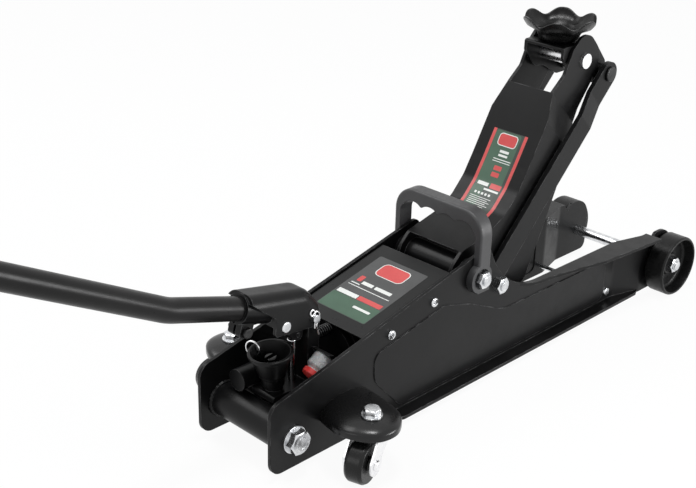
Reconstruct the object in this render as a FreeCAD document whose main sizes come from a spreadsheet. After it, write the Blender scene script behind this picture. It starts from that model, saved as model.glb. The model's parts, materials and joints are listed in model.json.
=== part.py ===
import FreeCAD, Part
import math
import os
import re

import Sketcher
from FreeCAD import Rotation, Vector

# Hydraulic trolley jack, millimetres. X runs from the handle to the front wheels, Y to the left
# and Z up from the floor. The lift arm is drawn in a frame of its own that turns with REST.

SIZES = {
    # side plates
    "plate_wall": 4.0,
    "plate_gap": 104.8,
    "plate_ground": 6.6,
    "plate_rear_top": 86.4,
    "plate_slope": 13.1,
    "peak_x": 329.0,
    "dip_x": 362.0,
    "dip_level": 89.5,
    "dip_radius": 105.0,
    "shoulder_x": 648.0,
    "shoulder_drop": 3.0,
    "notch_run": 8.0,
    "notch_drop": 10.0,
    "nose_overhang": 23.6,
    "nose_top": 84.0,
    "nose_radius": 30.0,
    "rear_corner": 15.0,
    "joggle_run": 46.0,
    "joggle_out": 12.6,
    "joggle_to_axle": 90.4,
    "lower_flange_start": 178.0,
    "lower_flange_end": 628.0,
    "lower_flange_width": 16.2,
    "upper_flange_start": 392.0,
    "upper_flange_width": 19.4,
    "panel_rise": 1.2,
    "panel_start": 146.0,
    # front axle and wheels
    "axle_x": 682.4,
    "wheel_diameter": 80.0,
    "wheel_width": 27.6,
    "wheel_gap": 3.0,
    "axle_diameter": 14.0,
    "wheel_rim": 3.6,
    "wheel_recess": 16.0,
    "hub_diameter": 30.0,
    # rear cross tube and its bolts
    "tube_x": 31.0,
    "tube_z": 40.0,
    "tube_diameter": 37.0,
    "tube_bolt": 16.0,
    "tube_bolt_flats": 24.0,
    "tube_bolt_head": 10.0,
    "tube_washer": 30.0,
    # lift arm and its parallel bars
    "pivot_x": 308.0,
    "pivot_z": 131.0,
    "arm_length": 290.0,
    "rest_angle": 45.2,
    "link_run": 40.0,
    "link_drop": 21.5,
    "arm_width": 82.0,
    "arm_tip_width": 66.0,
    "arm_wall": 4.0,
    "arm_taper_start": 198.0,
    "arm_taper_run": 32.0,
    "arm_nose": 27.0,
    "arm_tip_radius": 27.0,
    "arm_hub": 34.0,
    "pivot_shaft": 22.0,
    "pivot_thread": 12.0,
    "pivot_nut_flats": 18.0,
    "pivot_nut": 10.0,
    "saddle_pin": 18.0,
    "link_pin": 14.0,
    "lever_length": 60.0,
    "lever_angle": 18.0,
    "roller_diameter": 20.0,
    "bar_width": 29.0,
    "bar_wall": 6.0,
    "bar_spread": 88.0,
    "bar_tip_spread": 76.0,
    "bar_joggle_start": 222.0,
    "bar_joggle_run": 32.0,
    # saddle and its bracket
    "bracket_wall": 4.0,
    "bracket_rear": 36.0,
    "bracket_top": 20.0,
    "saddle_offset": 9.3,
    "saddle_stem": 20.0,
    "saddle_base": 55.0,
    "saddle_rim": 88.0,
    "saddle_height": 29.0,
    "saddle_floor": 6.0,
    "saddle_wall": 4.5,
    "saddle_turn": 44.4,
    "saddle_scallop": 11.0,
    # cover between the plates
    "cover_start": 132.0,
    "cover_end": 268.0,
    "cover_wall": 1.5,
    "cover_side": 24.0,
    "screw_diameter": 6.0,
    "screw_head": 11.0,
    "screw_drop": 18.0,
    # carry handle
    "grip_thickness": 20.0,
    "grip_leg": 8.6,
    "grip_foot": 5.0,
    "grip_foot_radius": 17.0,
    "grip_top": 209.0,
    "grip_height": 20.0,
    "grip_scallop": 25.0,
    # hydraulic unit
    "ram_z": 78.0,
    "tank_diameter": 70.0,
    "tank_start": 144.0,
    "tank_end": 240.0,
    "ram_diameter": 24.0,
    "ram_pad": 32.0,
    "pad_thickness": 8.0,
    "ram_inside": 201.0,
    "cylinder_diameter": 44.0,
    "gland_length": 6.0,
    "block_start": 60.0,
    "block_end": 126.0,
    "block_width": 76.0,
    "block_top": 66.0,
    "filler_tilt": 33.0,
    "filler_x": 101.0,
    "filler_y": 27.8,
    "filler_diameter": 24.0,
    "cup_x": 55.0,
    "cup_tilt": 6.0,
    "cup_rim": 48.0,
    "cup_height": 44.4,
    "cup_wall": 3.0,
    # handle socket
    "yoke_x": 92.7,
    "yoke_z": 141.0,
    "yoke_pin": 9.0,
    "drive_pin": 12.0,
    "drive_x": 54.0,
    "drive_z": 144.0,
    "handle_angle": 17.8,
    "socket_x": 26.0,
    "socket_z": 167.7,
    "socket_half": 20.0,
    "yoke_wall": 4.0,
    "socket_wall": 3.2,
    "socket_rear": 20.0,
    "socket_front": 45.0,
    "roller_x": 80.0,
    "roller_z": 122.0,
    "pump_roller": 14.0,
    "plunger_x": 80.0,
    "plunger_diameter": 10.0,
    # handle
    "handle_diameter": 25.0,
    "handle_wall": 2.0,
    "handle_lower": 108.0,
    "handle_bend": 10.4,
    "bend_radius": 70.0,
    "handle_split": 330.0,
    "handle_upper": 760.0,
    "handle_button": 8.0,
    "grip_length": 120.0,
    "grip_diameter": 31.0,
    "grip_round": 3.0,
    # rear casters
    "caster_x": 90.0,
    "caster_bay": 51.6,
    "caster_turn": 17.0,
    "caster_trail": 19.0,
    "caster_wheel": 46.0,
    "caster_width": 20.0,
    "fork_wall": 2.2,
    "fork_width": 32.0,
    "fork_room": 7.0,
    "fork_cheek": 11.5,
    "caster_axle": 8.0,
    "dome_radius": 31.0,
    "dome_rise": 13.0,
    "dome_wall": 3.0,
    "dome_depth": 10.0,
    "caster_bolt": 10.0,
    # tie rod
    "tie_x": 580.0,
    "tie_z": 22.0,
    "tie_diameter": 6.0,
    # clearances
    "spring_diameter": 13.0,
    "spring_wire": 1.8,
    "spring_pitch": 3.1,
    "fit_gap": 0.05,
    "slide_gap": 0.5,
    "seat_gap": 0.3,
    "plunger_gap": 0.6,
    "pad_gap": 1.8,
    "cover_sink": 2.0,
}

DERIVED = {
    "plate_inner": "plate_gap / 2",
    "plate_outer": "plate_inner + plate_wall",
    "front_inner": "plate_inner + joggle_out",
    "front_outer": "plate_outer + joggle_out",
    "joggle_start": "axle_x - joggle_to_axle",
    "peak_z": "plate_rear_top + peak_x * tan(plate_slope * 1deg)",
    "nose_x": "axle_x + nose_overhang",
    "wheel_inner": "front_outer + wheel_gap",
    "wheel_outer": "wheel_inner + wheel_width",
    "axle_z": "wheel_diameter / 2",
    "arm_half": "arm_width / 2",
    "arm_tip_half": "arm_tip_width / 2",
    "bracket_half": "arm_tip_half - arm_wall - slide_gap",
    "tip_x": "pivot_x + arm_length * cos(rest_angle * 1deg)",
    "tip_z": "pivot_z + arm_length * sin(rest_angle * 1deg)",
    "link_x": "pivot_x + link_run",
    "link_z": "pivot_z - link_drop",
    "lever_x": "pivot_x + lever_length * sin(lever_angle * 1deg)",
    "lever_z": "pivot_z - lever_length * cos(lever_angle * 1deg)",
    "saddle_x": "tip_x - saddle_offset",
    "saddle_z": "tip_z + bracket_top + seat_gap",
    "bend_tangent": "bend_radius * tan(handle_bend / 2 * 1deg)",
    "bend_x": "socket_x - handle_lower * cos(handle_angle * 1deg)",
    "bend_z": "socket_z + handle_lower * sin(handle_angle * 1deg)",
    "handle_inner": "handle_diameter - 2 * handle_wall",
    "upper_angle": "handle_angle + handle_bend",
    "handle_end_x": "bend_x - (handle_upper + grip_length - grip_round) * cos(upper_angle * 1deg)"
                    " - (grip_diameter / 2 - grip_round) * sin(upper_angle * 1deg) - grip_round",
    "arm_tip_inner": "arm_tip_half - arm_wall",
    "lever_s": "lever_length * cos((lever_angle - 90 - rest_angle) * 1deg)",
    "lever_t": "lever_length * sin((lever_angle - 90 - rest_angle) * 1deg)",
    "pad_face_x": "lever_x - roller_diameter / 2 - pad_gap",
    "bar_inner": "bar_spread / 2",
    "bar_tip_inner": "bar_tip_spread / 2",
    "cover_z": "plate_rear_top + cover_start * tan(plate_slope * 1deg) - cover_sink",
    "caster_z": "caster_wheel / 2",
    "fork_top": "caster_wheel + fork_room",
    "dome_top": "caster_wheel + fork_room + dome_rise",
    "caster_y": "plate_outer + caster_bay",
    "grip_outer": "2 * (plate_outer + grip_leg)",
    "spring_z": "cover_z - cover_wall - spring_diameter / 2 - seat_gap",
    "head_z": "roller_z - pump_roller / 2 - plunger_gap",
    "grip_center": "pivot_x + 4",
    "pin_u": "(yoke_x - socket_x) * cos(handle_angle * 1deg)"
             " - (yoke_z - socket_z) * sin(handle_angle * 1deg)",
    "pin_w": "(yoke_x - socket_x) * sin(handle_angle * 1deg)"
             " + (yoke_z - socket_z) * cos(handle_angle * 1deg)",
    "drive_u": "(drive_x - socket_x) * cos(handle_angle * 1deg)"
               " - (drive_z - socket_z) * sin(handle_angle * 1deg)",
    "drive_w": "(drive_x - socket_x) * sin(handle_angle * 1deg)"
               " + (drive_z - socket_z) * cos(handle_angle * 1deg)",
    "cam_u": "(roller_x - socket_x) * cos(handle_angle * 1deg)"
             " - (roller_z - socket_z) * sin(handle_angle * 1deg)",
    "cam_w": "(roller_x - socket_x) * sin(handle_angle * 1deg)"
             " + (roller_z - socket_z) * cos(handle_angle * 1deg)",
    "socket_outer": "handle_diameter + 2 * fit_gap + 2 * socket_wall",
    "origin_shift": "0 - (axle_x + wheel_diameter / 2 + handle_end_x) / 2",
}

doc = FreeCAD.newDocument("trolley_jack")
sheet = doc.addObject("Spreadsheet::Sheet", "Dims")
pieces = []


def named(expression):
    """Put the sheet's name in front of each named size of an expression."""
    known = lambda match: "Dims." + match.group(0) if match.group(0) in NAMES else match.group(0)
    return re.sub(r"[a-z][a-z_0-9]*", known, str(expression))


def size(expression):
    """Value of an expression of named sizes."""
    return float(sheet.evalExpression(named(expression)))


def bind(thing, path, expression):
    """Tie a property to named sizes."""
    thing.setExpression(path, named(expression))


NAMES = set(SIZES) | set(DERIVED)
for row, (alias, value) in enumerate(SIZES.items(), start=1):
    sheet.set(f"A{row}", alias)
    sheet.set(f"B{row}", str(value))
    sheet.setAlias(f"B{row}", alias)
doc.recompute()
pending = dict(DERIVED)
row = len(SIZES)
while pending:
    for alias, formula in list(pending.items()):
        words = set(re.findall(r"[a-z][a-z_0-9]*", formula))
        if words & set(pending):
            continue
        row += 1
        sheet.set(f"A{row}", alias)
        sheet.set(f"B{row}", "=" + re.sub(r"Dims\.", "", named(formula)))
        sheet.setAlias(f"B{row}", alias)
        del pending[alias]
doc.recompute()


# ---------------------------------------------------------------- drawing helpers

def new_body(label):
    """Empty body with the name of its piece."""
    body = doc.addObject("PartDesign::Body", label)
    body.Label = label
    return body


def origin_plane(body, role):
    """One of the body's own origin planes."""
    return next(f for f in body.Origin.OriginFeatures if f.Role == role + "_Plane")


def tie_point(sketch, geometry, position, x, y):
    """Fix a point of the sketch at named coordinates."""
    for kind, axis, expression in (("DistanceX", -2, x), ("DistanceY", -1, y)):
        value = size(expression)
        if abs(value) < 1e-9:
            sketch.addConstraint(Sketcher.Constraint("PointOnObject", geometry, position, axis))
            continue
        if value > 0:
            tie = Sketcher.Constraint(kind, -1, 1, geometry, position, value)
            bind(sketch, f"Constraints[{sketch.addConstraint(tie)}]", expression)
        else:
            tie = Sketcher.Constraint(kind, geometry, position, -1, 1, -value)
            bind(sketch, f"Constraints[{sketch.addConstraint(tie)}]", f"0 - ({expression})")


def draw_loop(sketch, corners):
    """Closed outline of straight runs; a corner is x, y and, where it is round, its radius."""
    count = len(corners)
    enters, leaves = [], []
    for i, (x, y, *radius) in enumerate(corners):
        if not radius:
            enters.append((x, y))
            leaves.append((x, y))
            continue
        back = f"atan2({corners[i - 1][1]} - ({y}); {corners[i - 1][0]} - ({x}))"
        onward = f"atan2({corners[(i + 1) % count][1]} - ({y}); " \
                 f"{corners[(i + 1) % count][0]} - ({x}))"
        reach = f"({radius[0]}) / abs(tan(({onward} - {back}) / 2))"
        enters.append((f"{x} + {reach} * cos({back})", f"{y} + {reach} * sin({back})"))
        leaves.append((f"{x} + {reach} * cos({onward})", f"{y} + {reach} * sin({onward})"))
    spots = [(Vector(size(e[0]), size(e[1]), 0), Vector(size(o[0]), size(o[1]), 0))
             for e, o in zip(enters, leaves)]
    lines = [sketch.addGeometry(Part.LineSegment(spots[i][1], spots[(i + 1) % count][0]))
             for i in range(count)]
    for i, (x, y, *radius) in enumerate(corners):
        tie_point(sketch, lines[i], 1, *leaves[i])
        if not radius:
            sketch.addConstraint(Sketcher.Constraint("Coincident", lines[i - 1], 2, lines[i], 1))
            continue
        tie_point(sketch, lines[i - 1], 2, *enters[i])
        draw_corner(sketch, lines[i - 1], lines[i], spots[i], Vector(size(x), size(y), 0),
                    radius[0])


def draw_corner(sketch, before, after, ends, corner, radius):
    """Round corner between the end of one line and the start of the next."""
    inward = ((ends[0] - corner).normalize() + (ends[1] - corner).normalize()).normalize()
    turn = size(radius)
    centre = corner + inward * math.hypot(turn, (ends[0] - corner).Length)
    leftward = (ends[0] - centre).cross(ends[1] - centre).z > 0
    first, last = (1, 2) if leftward else (2, 1)
    start, end = ends if leftward else ends[::-1]
    angles = [math.atan2(p.y - centre.y, p.x - centre.x) for p in (start, end)]
    circle = Part.Circle(centre, Vector(0, 0, 1), turn)
    number = sketch.addGeometry(Part.ArcOfCircle(circle, *angles))
    sketch.addConstraint(Sketcher.Constraint("Coincident", before, 2, number, first))
    sketch.addConstraint(Sketcher.Constraint("Coincident", after, 1, number, last))
    rule = sketch.addConstraint(Sketcher.Constraint("Radius", number, turn))
    bind(sketch, f"Constraints[{rule}]", radius)


def draw_circle(sketch, x, y, diameter):
    """Circle with a named centre and diameter."""
    radius = size(diameter) / 2
    number = sketch.addGeometry(Part.Circle(Vector(size(x), size(y), 0), Vector(0, 0, 1), radius))
    tie_point(sketch, number, 3, x, y)
    turn = sketch.addConstraint(Sketcher.Constraint("Diameter", number, radius * 2))
    bind(sketch, f"Constraints[{turn}]", diameter)


def new_sketch(body, plane, loops=(), circles=(), offset="0"):
    """Sketch on one of the body's origin planes, moved along the plane's normal."""
    sketch = body.newObject("Sketcher::SketchObject", body.Name + "_outline")
    sketch.AttachmentSupport = (origin_plane(body, plane), [""])
    sketch.MapMode = "FlatFace"
    bind(sketch, "AttachmentOffset.Base.z", offset)
    for loop in loops:
        draw_loop(sketch, loop)
    for circle in circles:
        draw_circle(sketch, *circle)
    return sketch


def pad(body, sketch, length, symmetric=False, backwards=False):
    """Raise a sketch into a solid."""
    feature = body.newObject("PartDesign::Pad", body.Name + "_pad")
    feature.Profile = sketch
    bind(feature, "Length", length)
    feature.SideType = "Symmetric" if symmetric else "One side"
    feature.Reversed = backwards
    doc.recompute()
    return feature


def pocket(body, sketch, length=None, backwards=False, symmetric=False):
    """Cut a sketch out of the body: right through both ways, or to a named depth."""
    before = body.Shape.Volume
    feature = body.newObject("PartDesign::Pocket", body.Name + "_pocket")
    feature.Profile = sketch
    if length is None:
        feature.Type = "ThroughAll"
        feature.SideType = "Symmetric"
    else:
        bind(feature, "Length", length)
        feature.SideType = "Symmetric" if symmetric else "One side"
        feature.Reversed = backwards
    doc.recompute()
    if body.Shape.Volume >= before - 1e-6:
        raise RuntimeError(f"{body.Label}: a pocket cut nothing")
    return feature


def turn_solid(body, sketch, cut=False, axis="V_Axis"):
    """Revolve a sketch about the upright or the level axis of its plane."""
    kind = "PartDesign::Groove" if cut else "PartDesign::Revolution"
    before = body.Shape.Volume if cut else 0
    feature = body.newObject(kind, body.Name + "_turned")
    feature.Profile = sketch
    feature.ReferenceAxis = (sketch, [axis])
    feature.Angle = 360
    doc.recompute()
    if cut and body.Shape.Volume >= before - 1e-6:
        raise RuntimeError(f"{body.Label}: a groove cut nothing")
    return feature


def edges_where(shape, test):
    """Names of a shape's edges that pass a test."""
    return [f"Edge{i}" for i, edge in enumerate(shape.Edges, start=1) if test(edge)]


def soften(body, test, radius, kind="Fillet"):
    """Fillet or chamfer the edges of the body's latest feature that pass a test."""
    base = body.Tip
    names = edges_where(base.Shape, test)
    feature = body.newObject("PartDesign::" + kind, body.Name + "_edge")
    feature.Base = (base, names)
    bind(feature, "Radius" if kind == "Fillet" else "Size", radius)
    doc.recompute()
    return feature


def place(thing, x="0", y="0", z="0", axis=(0, 0, 1), angle="0"):
    """Put a piece at named coordinates of the whole jack, turned about one axis."""
    thing.Placement.Rotation = Rotation(Vector(*axis), size(angle))
    bind(thing, "Placement.Base.x", f"origin_shift + {x}")
    bind(thing, "Placement.Base.y", y)
    bind(thing, "Placement.Base.z", z)
    if size(angle):
        bind(thing, "Placement.Rotation.Angle", angle)
    return thing


def keep(thing, label=None):
    """List a finished piece under its own name."""
    if label:
        thing.Label = label
    pieces.append(thing)
    return thing


def mirrored(source, label):
    """The same piece on the other side of the jack."""
    other = doc.addObject("Part::Mirroring", label)
    other.Source = source
    other.Normal = Vector(0, 1, 0)
    other.Label = label
    return other


def group(label, members):
    """Identical fasteners kept together as separate solids."""
    both = doc.addObject("Part::Compound", label)
    both.Links = members
    both.Label = label
    return keep(both)


def hexagon(flats):
    """Corners of a hexagon with named width across its flats."""
    corner = f"{flats} / 2 / cos(30deg)"
    return [(f"{corner} * cos({60 * i}deg)", f"{corner} * sin({60 * i}deg)") for i in range(6)]


def bevel_corners(body, flats, level, above):
    """Turn the corners off one end of a hexagon, as on a real bolt or nut."""
    side = "1" if above else "-1"
    profile = [(f"{flats} * 0.47", level), (f"{flats} * 0.62", level),
               (f"{flats} * 0.62", f"{level} - {side} * {flats} * 0.1")]
    turn_solid(body, new_sketch(body, "XZ", [profile]), cut=True)


def hex_nut(label, flats, height, hole):
    """Nut standing on the XY plane."""
    body = new_body(label)
    pad(body, new_sketch(body, "XY", [hexagon(flats)]), height)
    pocket(body, new_sketch(body, "XY", circles=[("0", "0", hole)]))
    bevel_corners(body, flats, height, True)
    return body


def hex_bolt(label, flats, head, shank, length):
    """Bolt with its head above the XY plane and its shank below."""
    body = new_body(label)
    pad(body, new_sketch(body, "XY", [hexagon(flats)]), head)
    bevel_corners(body, flats, head, True)
    pad(body, new_sketch(body, "XY", circles=[("0", "0", shank)]), length, backwards=True)
    return body


def turned(label, profile):
    """Round piece from its half profile of radius and height."""
    body = new_body(label)
    turn_solid(body, new_sketch(body, "XZ", [profile]))
    return body


def rolled(label, profile):
    """Round piece about a level axis, from its half profile of width and radius."""
    body = new_body(label)
    turn_solid(body, new_sketch(body, "YZ", [profile]), axis="H_Axis")
    return body


def ring(label, outer, inner, height, start="0"):
    """Plain washer, bush or collar."""
    hole, rim, top = f"({inner}) / 2", f"({outer}) / 2", f"{start} + {height}"
    return turned(label, [(hole, start), (rim, start), (rim, top), (hole, top)])


# ---------------------------------------------------------------- side plates

def plate_outline():
    """Side view of a plate: sloping back, round dip for the arm, shoulder, notch and nose."""
    return [("0", "plate_ground", "rear_corner"), ("0", "plate_rear_top", "rear_corner"),
            ("peak_x", "peak_z", "10"), ("dip_x", "dip_level", "dip_radius"),
            ("shoulder_x", "dip_level - shoulder_drop"),
            ("shoulder_x + notch_run", "nose_top - notch_drop", "3"),
            ("shoulder_x + 2.2 * notch_run", "nose_top", "6"),
            ("nose_x", "nose_top", "nose_radius"), ("nose_x", "plate_ground", "10")]


def lip_outline():
    """Side view of the outward lip that follows the plate's top edge."""
    bend = "atan((peak_z - dip_level) / (dip_x - peak_x)) / 2"
    return [("peak_x", "peak_z"), ("dip_x", "dip_level", "dip_radius"),
            ("shoulder_x", "dip_level - shoulder_drop"),
            ("shoulder_x", "dip_level - shoulder_drop - plate_wall"),
            (f"dip_x - plate_wall * tan({bend})", "dip_level - plate_wall",
             "dip_radius + plate_wall"),
            (f"peak_x - plate_wall / sin(2 * {bend})", "peak_z")]


def outside(loop):
    """A loop with a frame far round it, to cut away all that lies outside the loop."""
    return [[("-50", "-50"), ("800", "-50"), ("800", "300"), ("-50", "300")], loop]


def make_side_plate():
    """Pressed right side plate with its joggle, lips and raised panel."""
    body = new_body("side_plate_right")
    lip = [("upper_flange_start", "0 - plate_inner - 1"),
           ("joggle_start", "0 - plate_inner - 1"),
           ("joggle_start + joggle_run", "0 - front_inner - 1"),
           ("shoulder_x", "0 - front_inner - 1"),
           ("shoulder_x", "0 - front_outer - upper_flange_width"),
           ("shoulder_x - 110", "0 - plate_outer - 1.2 * upper_flange_width"),
           ("upper_flange_start + 63", "0 - plate_outer - 0.36 * upper_flange_width"),
           ("upper_flange_start", "0 - plate_outer")]
    pad(body, new_sketch(body, "XY", [lip]), "200")
    pocket(body, new_sketch(body, "XZ", outside(lip_outline())))
    sheet_plan = [("0", "0 - plate_inner"), ("joggle_start", "0 - plate_inner", "20"),
                  ("joggle_start + joggle_run", "0 - front_inner", "20"),
                  ("nose_x", "0 - front_inner"), ("nose_x", "0 - front_outer"),
                  ("joggle_start + joggle_run", "0 - front_outer", "20"),
                  ("joggle_start", "0 - plate_outer", "20"), ("0", "0 - plate_outer")]
    pad(body, new_sketch(body, "XY", [sheet_plan]), "200")
    pocket(body, new_sketch(body, "XZ", outside(plate_outline())))
    lower = [("lower_flange_start - 18", "0 - plate_inner - 1"),
             ("joggle_start", "0 - plate_inner - 1"),
             ("lower_flange_end + 14", "0 - front_inner - 1"),
             ("lower_flange_end", "0 - plate_outer - lower_flange_width", "4"),
             ("lower_flange_start", "0 - plate_outer - lower_flange_width", "10"),
             ("lower_flange_start - 18", "0 - plate_outer", "6")]
    pad(body, new_sketch(body, "XY", [lower], offset="plate_ground"), "plate_wall")
    panel = [("panel_start + 42", "15", "10"), ("panel_start", "60", "25"),
             ("panel_start", "92", "12"), ("panel_start + 109", "113.5", "20"),
             ("pivot_x - 8", "100", "25"), ("dip_x", "72", "60"),
             ("joggle_start - 20", "70", "15"), ("joggle_start - 20", "15", "10")]
    pad(body, new_sketch(body, "XZ", [panel], offset="plate_outer"), "panel_rise")
    pocket(body, new_sketch(body, "XZ", [panel], offset="plate_inner"), "panel_rise",
           backwards=True)
    holes = [("tube_x", "tube_z", "tube_bolt + 1"),
             ("pivot_x", "pivot_z", "pivot_thread + 0.4"),
             ("link_x", "link_z", "pivot_thread + 0.4"),
             ("axle_x", "axle_z", "axle_diameter + 0.4"),
             ("tie_x", "tie_z", "tie_diameter + 0.4")]
    holes += [(x, z, "screw_diameter + 0.4") for x, z in SCREWS]
    pocket(body, new_sketch(body, "XZ", circles=holes))
    return place(body)


SCREW_PLACES = ("170", "237")
SCREWS = [(x, f"plate_rear_top + {x} * tan(plate_slope * 1deg) - screw_drop")
          for x in SCREW_PLACES]
right_plate = keep(make_side_plate())
keep(mirrored(right_plate, "side_plate_left"))


# ---------------------------------------------------------------- small helpers for pieces

def across(label, x, z, diameter, length, bore=None):
    """Round bar or tube that lies across the jack, centred between its sides."""
    body = new_body(label)
    circles = [("0", "0", diameter)] + ([("0", "0", bore)] if bore else [])
    pad(body, new_sketch(body, "XZ", circles=circles), length, symmetric=True)
    return keep(place(body, x, "0", z))


def outward(body, x, y, z):
    """Set a piece drawn along Z at the right side of the jack, pointing away from it."""
    return place(body, x, f"0 - ({y})", z, axis=(1, 0, 0), angle="90")


def on_arm(body, x="pivot_x", z="pivot_z"):
    """Lay a piece drawn along X and Z in the plane of the raised lift arm."""
    return place(body, x, "0", z, axis=(0, -1, 0), angle="rest_angle")


def both_plates(label, make, places):
    """Fasteners at several places of the right plate, with their mirrors on the left one."""
    members = []
    for number, (x, y, z) in enumerate(places, start=1):
        right = outward(make(f"{label}_{number}_right"), x, y, z)
        members += [right, mirrored(right, f"{label}_{number}_left")]
    return group(label, members)


# ---------------------------------------------------------------- chassis cross pieces

across("rear_cross_tube", "tube_x", "tube_z", "tube_diameter", "plate_gap",
       "tube_bolt + 2 * fit_gap")
both_plates("rear_tube_washers", lambda n: ring(n, "tube_washer", "tube_bolt + 1", "2.5"),
            [("tube_x", "plate_outer", "tube_z")])
both_plates("rear_tube_bolts",
            lambda n: hex_bolt(n, "tube_bolt_flats", "tube_bolt_head", "tube_bolt", "38"),
            [("tube_x", "plate_outer + 2.5", "tube_z")])
tie_half = "plate_outer"
keep(place(rolled("tie_rod", [
    (f"0 - {tie_half} - 2.5", "0"), (f"{tie_half} + 2.5", "0"),
    (f"{tie_half} + 2.5", "tie_diameter - 1", "1"), (tie_half, "tie_diameter"),
    (tie_half, "tie_diameter / 2"), (f"0 - {tie_half}", "tie_diameter / 2"),
    (f"0 - {tie_half}", "tie_diameter"), (f"0 - {tie_half} - 2.5", "tie_diameter - 1", "1")]),
    "tie_x", "0", "tie_z"))


def make_front_axle():
    """Front axle with threaded ends of smaller diameter."""
    body = new_body("front_axle")
    hub_face = "(wheel_outer - wheel_recess + 3)"
    pad(body, new_sketch(body, "XZ", circles=[("0", "0", "axle_diameter")]),
        f"2 * ({hub_face} + seat_gap)", symmetric=True)
    pad(body, new_sketch(body, "XZ", circles=[("0", "0", "axle_diameter - 2")]),
        f"2 * ({hub_face} + 11)", symmetric=True)
    return keep(place(body, "axle_x", "0", "axle_z"))


def make_front_wheel(label):
    """Cast wheel, recessed on its outer face round a raised hub."""
    rim = "wheel_diameter / 2"
    bore = "axle_diameter / 2 + fit_gap"
    face = "wheel_width - wheel_recess"
    return turned(label, [
        (bore, "0"), (f"{rim} - 2", "0", "0.8"), (rim, "2", "1.5"),
        (rim, "wheel_width - 2", "1.5"), (f"{rim} - 1.5", "wheel_width", "0.5"),
        (f"{rim} - wheel_rim", "wheel_width", "0.8"), (f"{rim} - wheel_rim - 2", face, "4"),
        ("hub_diameter / 2", face, "1.5"), ("hub_diameter / 2 - 1", f"{face} + 3", "0.5"),
        (bore, f"{face} + 3")])


make_front_axle()
both_plates("front_axle_collars",
            lambda n: ring(n, "hub_diameter - 4", "axle_diameter + 2 * fit_gap",
                           "wheel_gap - seat_gap"),
            [("axle_x", "front_outer", "axle_z")])
both_plates("front_axle_nuts",
            lambda n: hex_nut(n, "19", "8", "axle_diameter - 2 + 2 * fit_gap"),
            [("axle_x", "wheel_outer - wheel_recess + 3 + seat_gap", "axle_z")])
front_wheel = keep(outward(make_front_wheel("front_wheel_right"),
                           "axle_x", "wheel_inner", "axle_z"))
keep(mirrored(front_wheel, "front_wheel_left"))


# ---------------------------------------------------------------- cover and carry handle

def make_cover():
    """Sheet cover that slopes up between the plates, with a flange along each of them."""
    body = new_body("cover_plate")
    half, wall = "plate_inner", "cover_wall"
    length = "(cover_end - cover_start) / cos(plate_slope * 1deg)"
    section = [(f"0 - {half}", "0", "3.5"), (half, "0", "3.5"), (half, "0 - cover_side"),
               (f"{half} - {wall}", "0 - cover_side"), (f"{half} - {wall}", f"0 - {wall}", "2"),
               (f"{wall} - {half}", f"0 - {wall}", "2"), (f"{wall} - {half}", "0 - cover_side"),
               (f"0 - {half}", "0 - cover_side")]
    pad(body, new_sketch(body, "YZ", [section]), length)
    corner = [(f"{length} - 26", "0 - cover_side - 1"), (f"{length} + 1", "0 - cover_side - 1"),
              (f"{length} + 1", "0 - 6")]
    pocket(body, new_sketch(body, "XZ", [corner]))
    back = "screw_drop - cover_sink"
    run = f"/ cos(plate_slope * 1deg) - ({back}) * sin(plate_slope * 1deg)"
    holes = [(f"({x} - cover_start) {run}", f"0 - ({back}) * cos(plate_slope * 1deg)",
              "screw_diameter + 0.2") for x in SCREW_PLACES]
    pocket(body, new_sketch(body, "XZ", circles=holes))
    return keep(place(body, "cover_start", "0", "cover_z", axis=(0, -1, 0), angle="plate_slope"))


def make_screw(label):
    """Pan head screw with a cross slot."""
    body = turned(label, [("0", "0 - plate_wall - cover_wall - 5"),
                          ("screw_diameter / 2", "0 - plate_wall - cover_wall - 5"),
                          ("screw_diameter / 2", "0"), ("screw_head / 2", "0"),
                          ("screw_head / 2", "3", "1.8"), ("0", "3.6")])
    for long, wide in (("6", "1.2"), ("1.2", "6")):
        slot = [(f"0 - {long} / 2", f"0 - {wide} / 2"), (f"{long} / 2", f"0 - {wide} / 2"),
                (f"{long} / 2", f"{wide} / 2"), (f"0 - {long} / 2", f"{wide} / 2")]
        pocket(body, new_sketch(body, "XY", [slot], offset="5"), "3.4")
    return body


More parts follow.
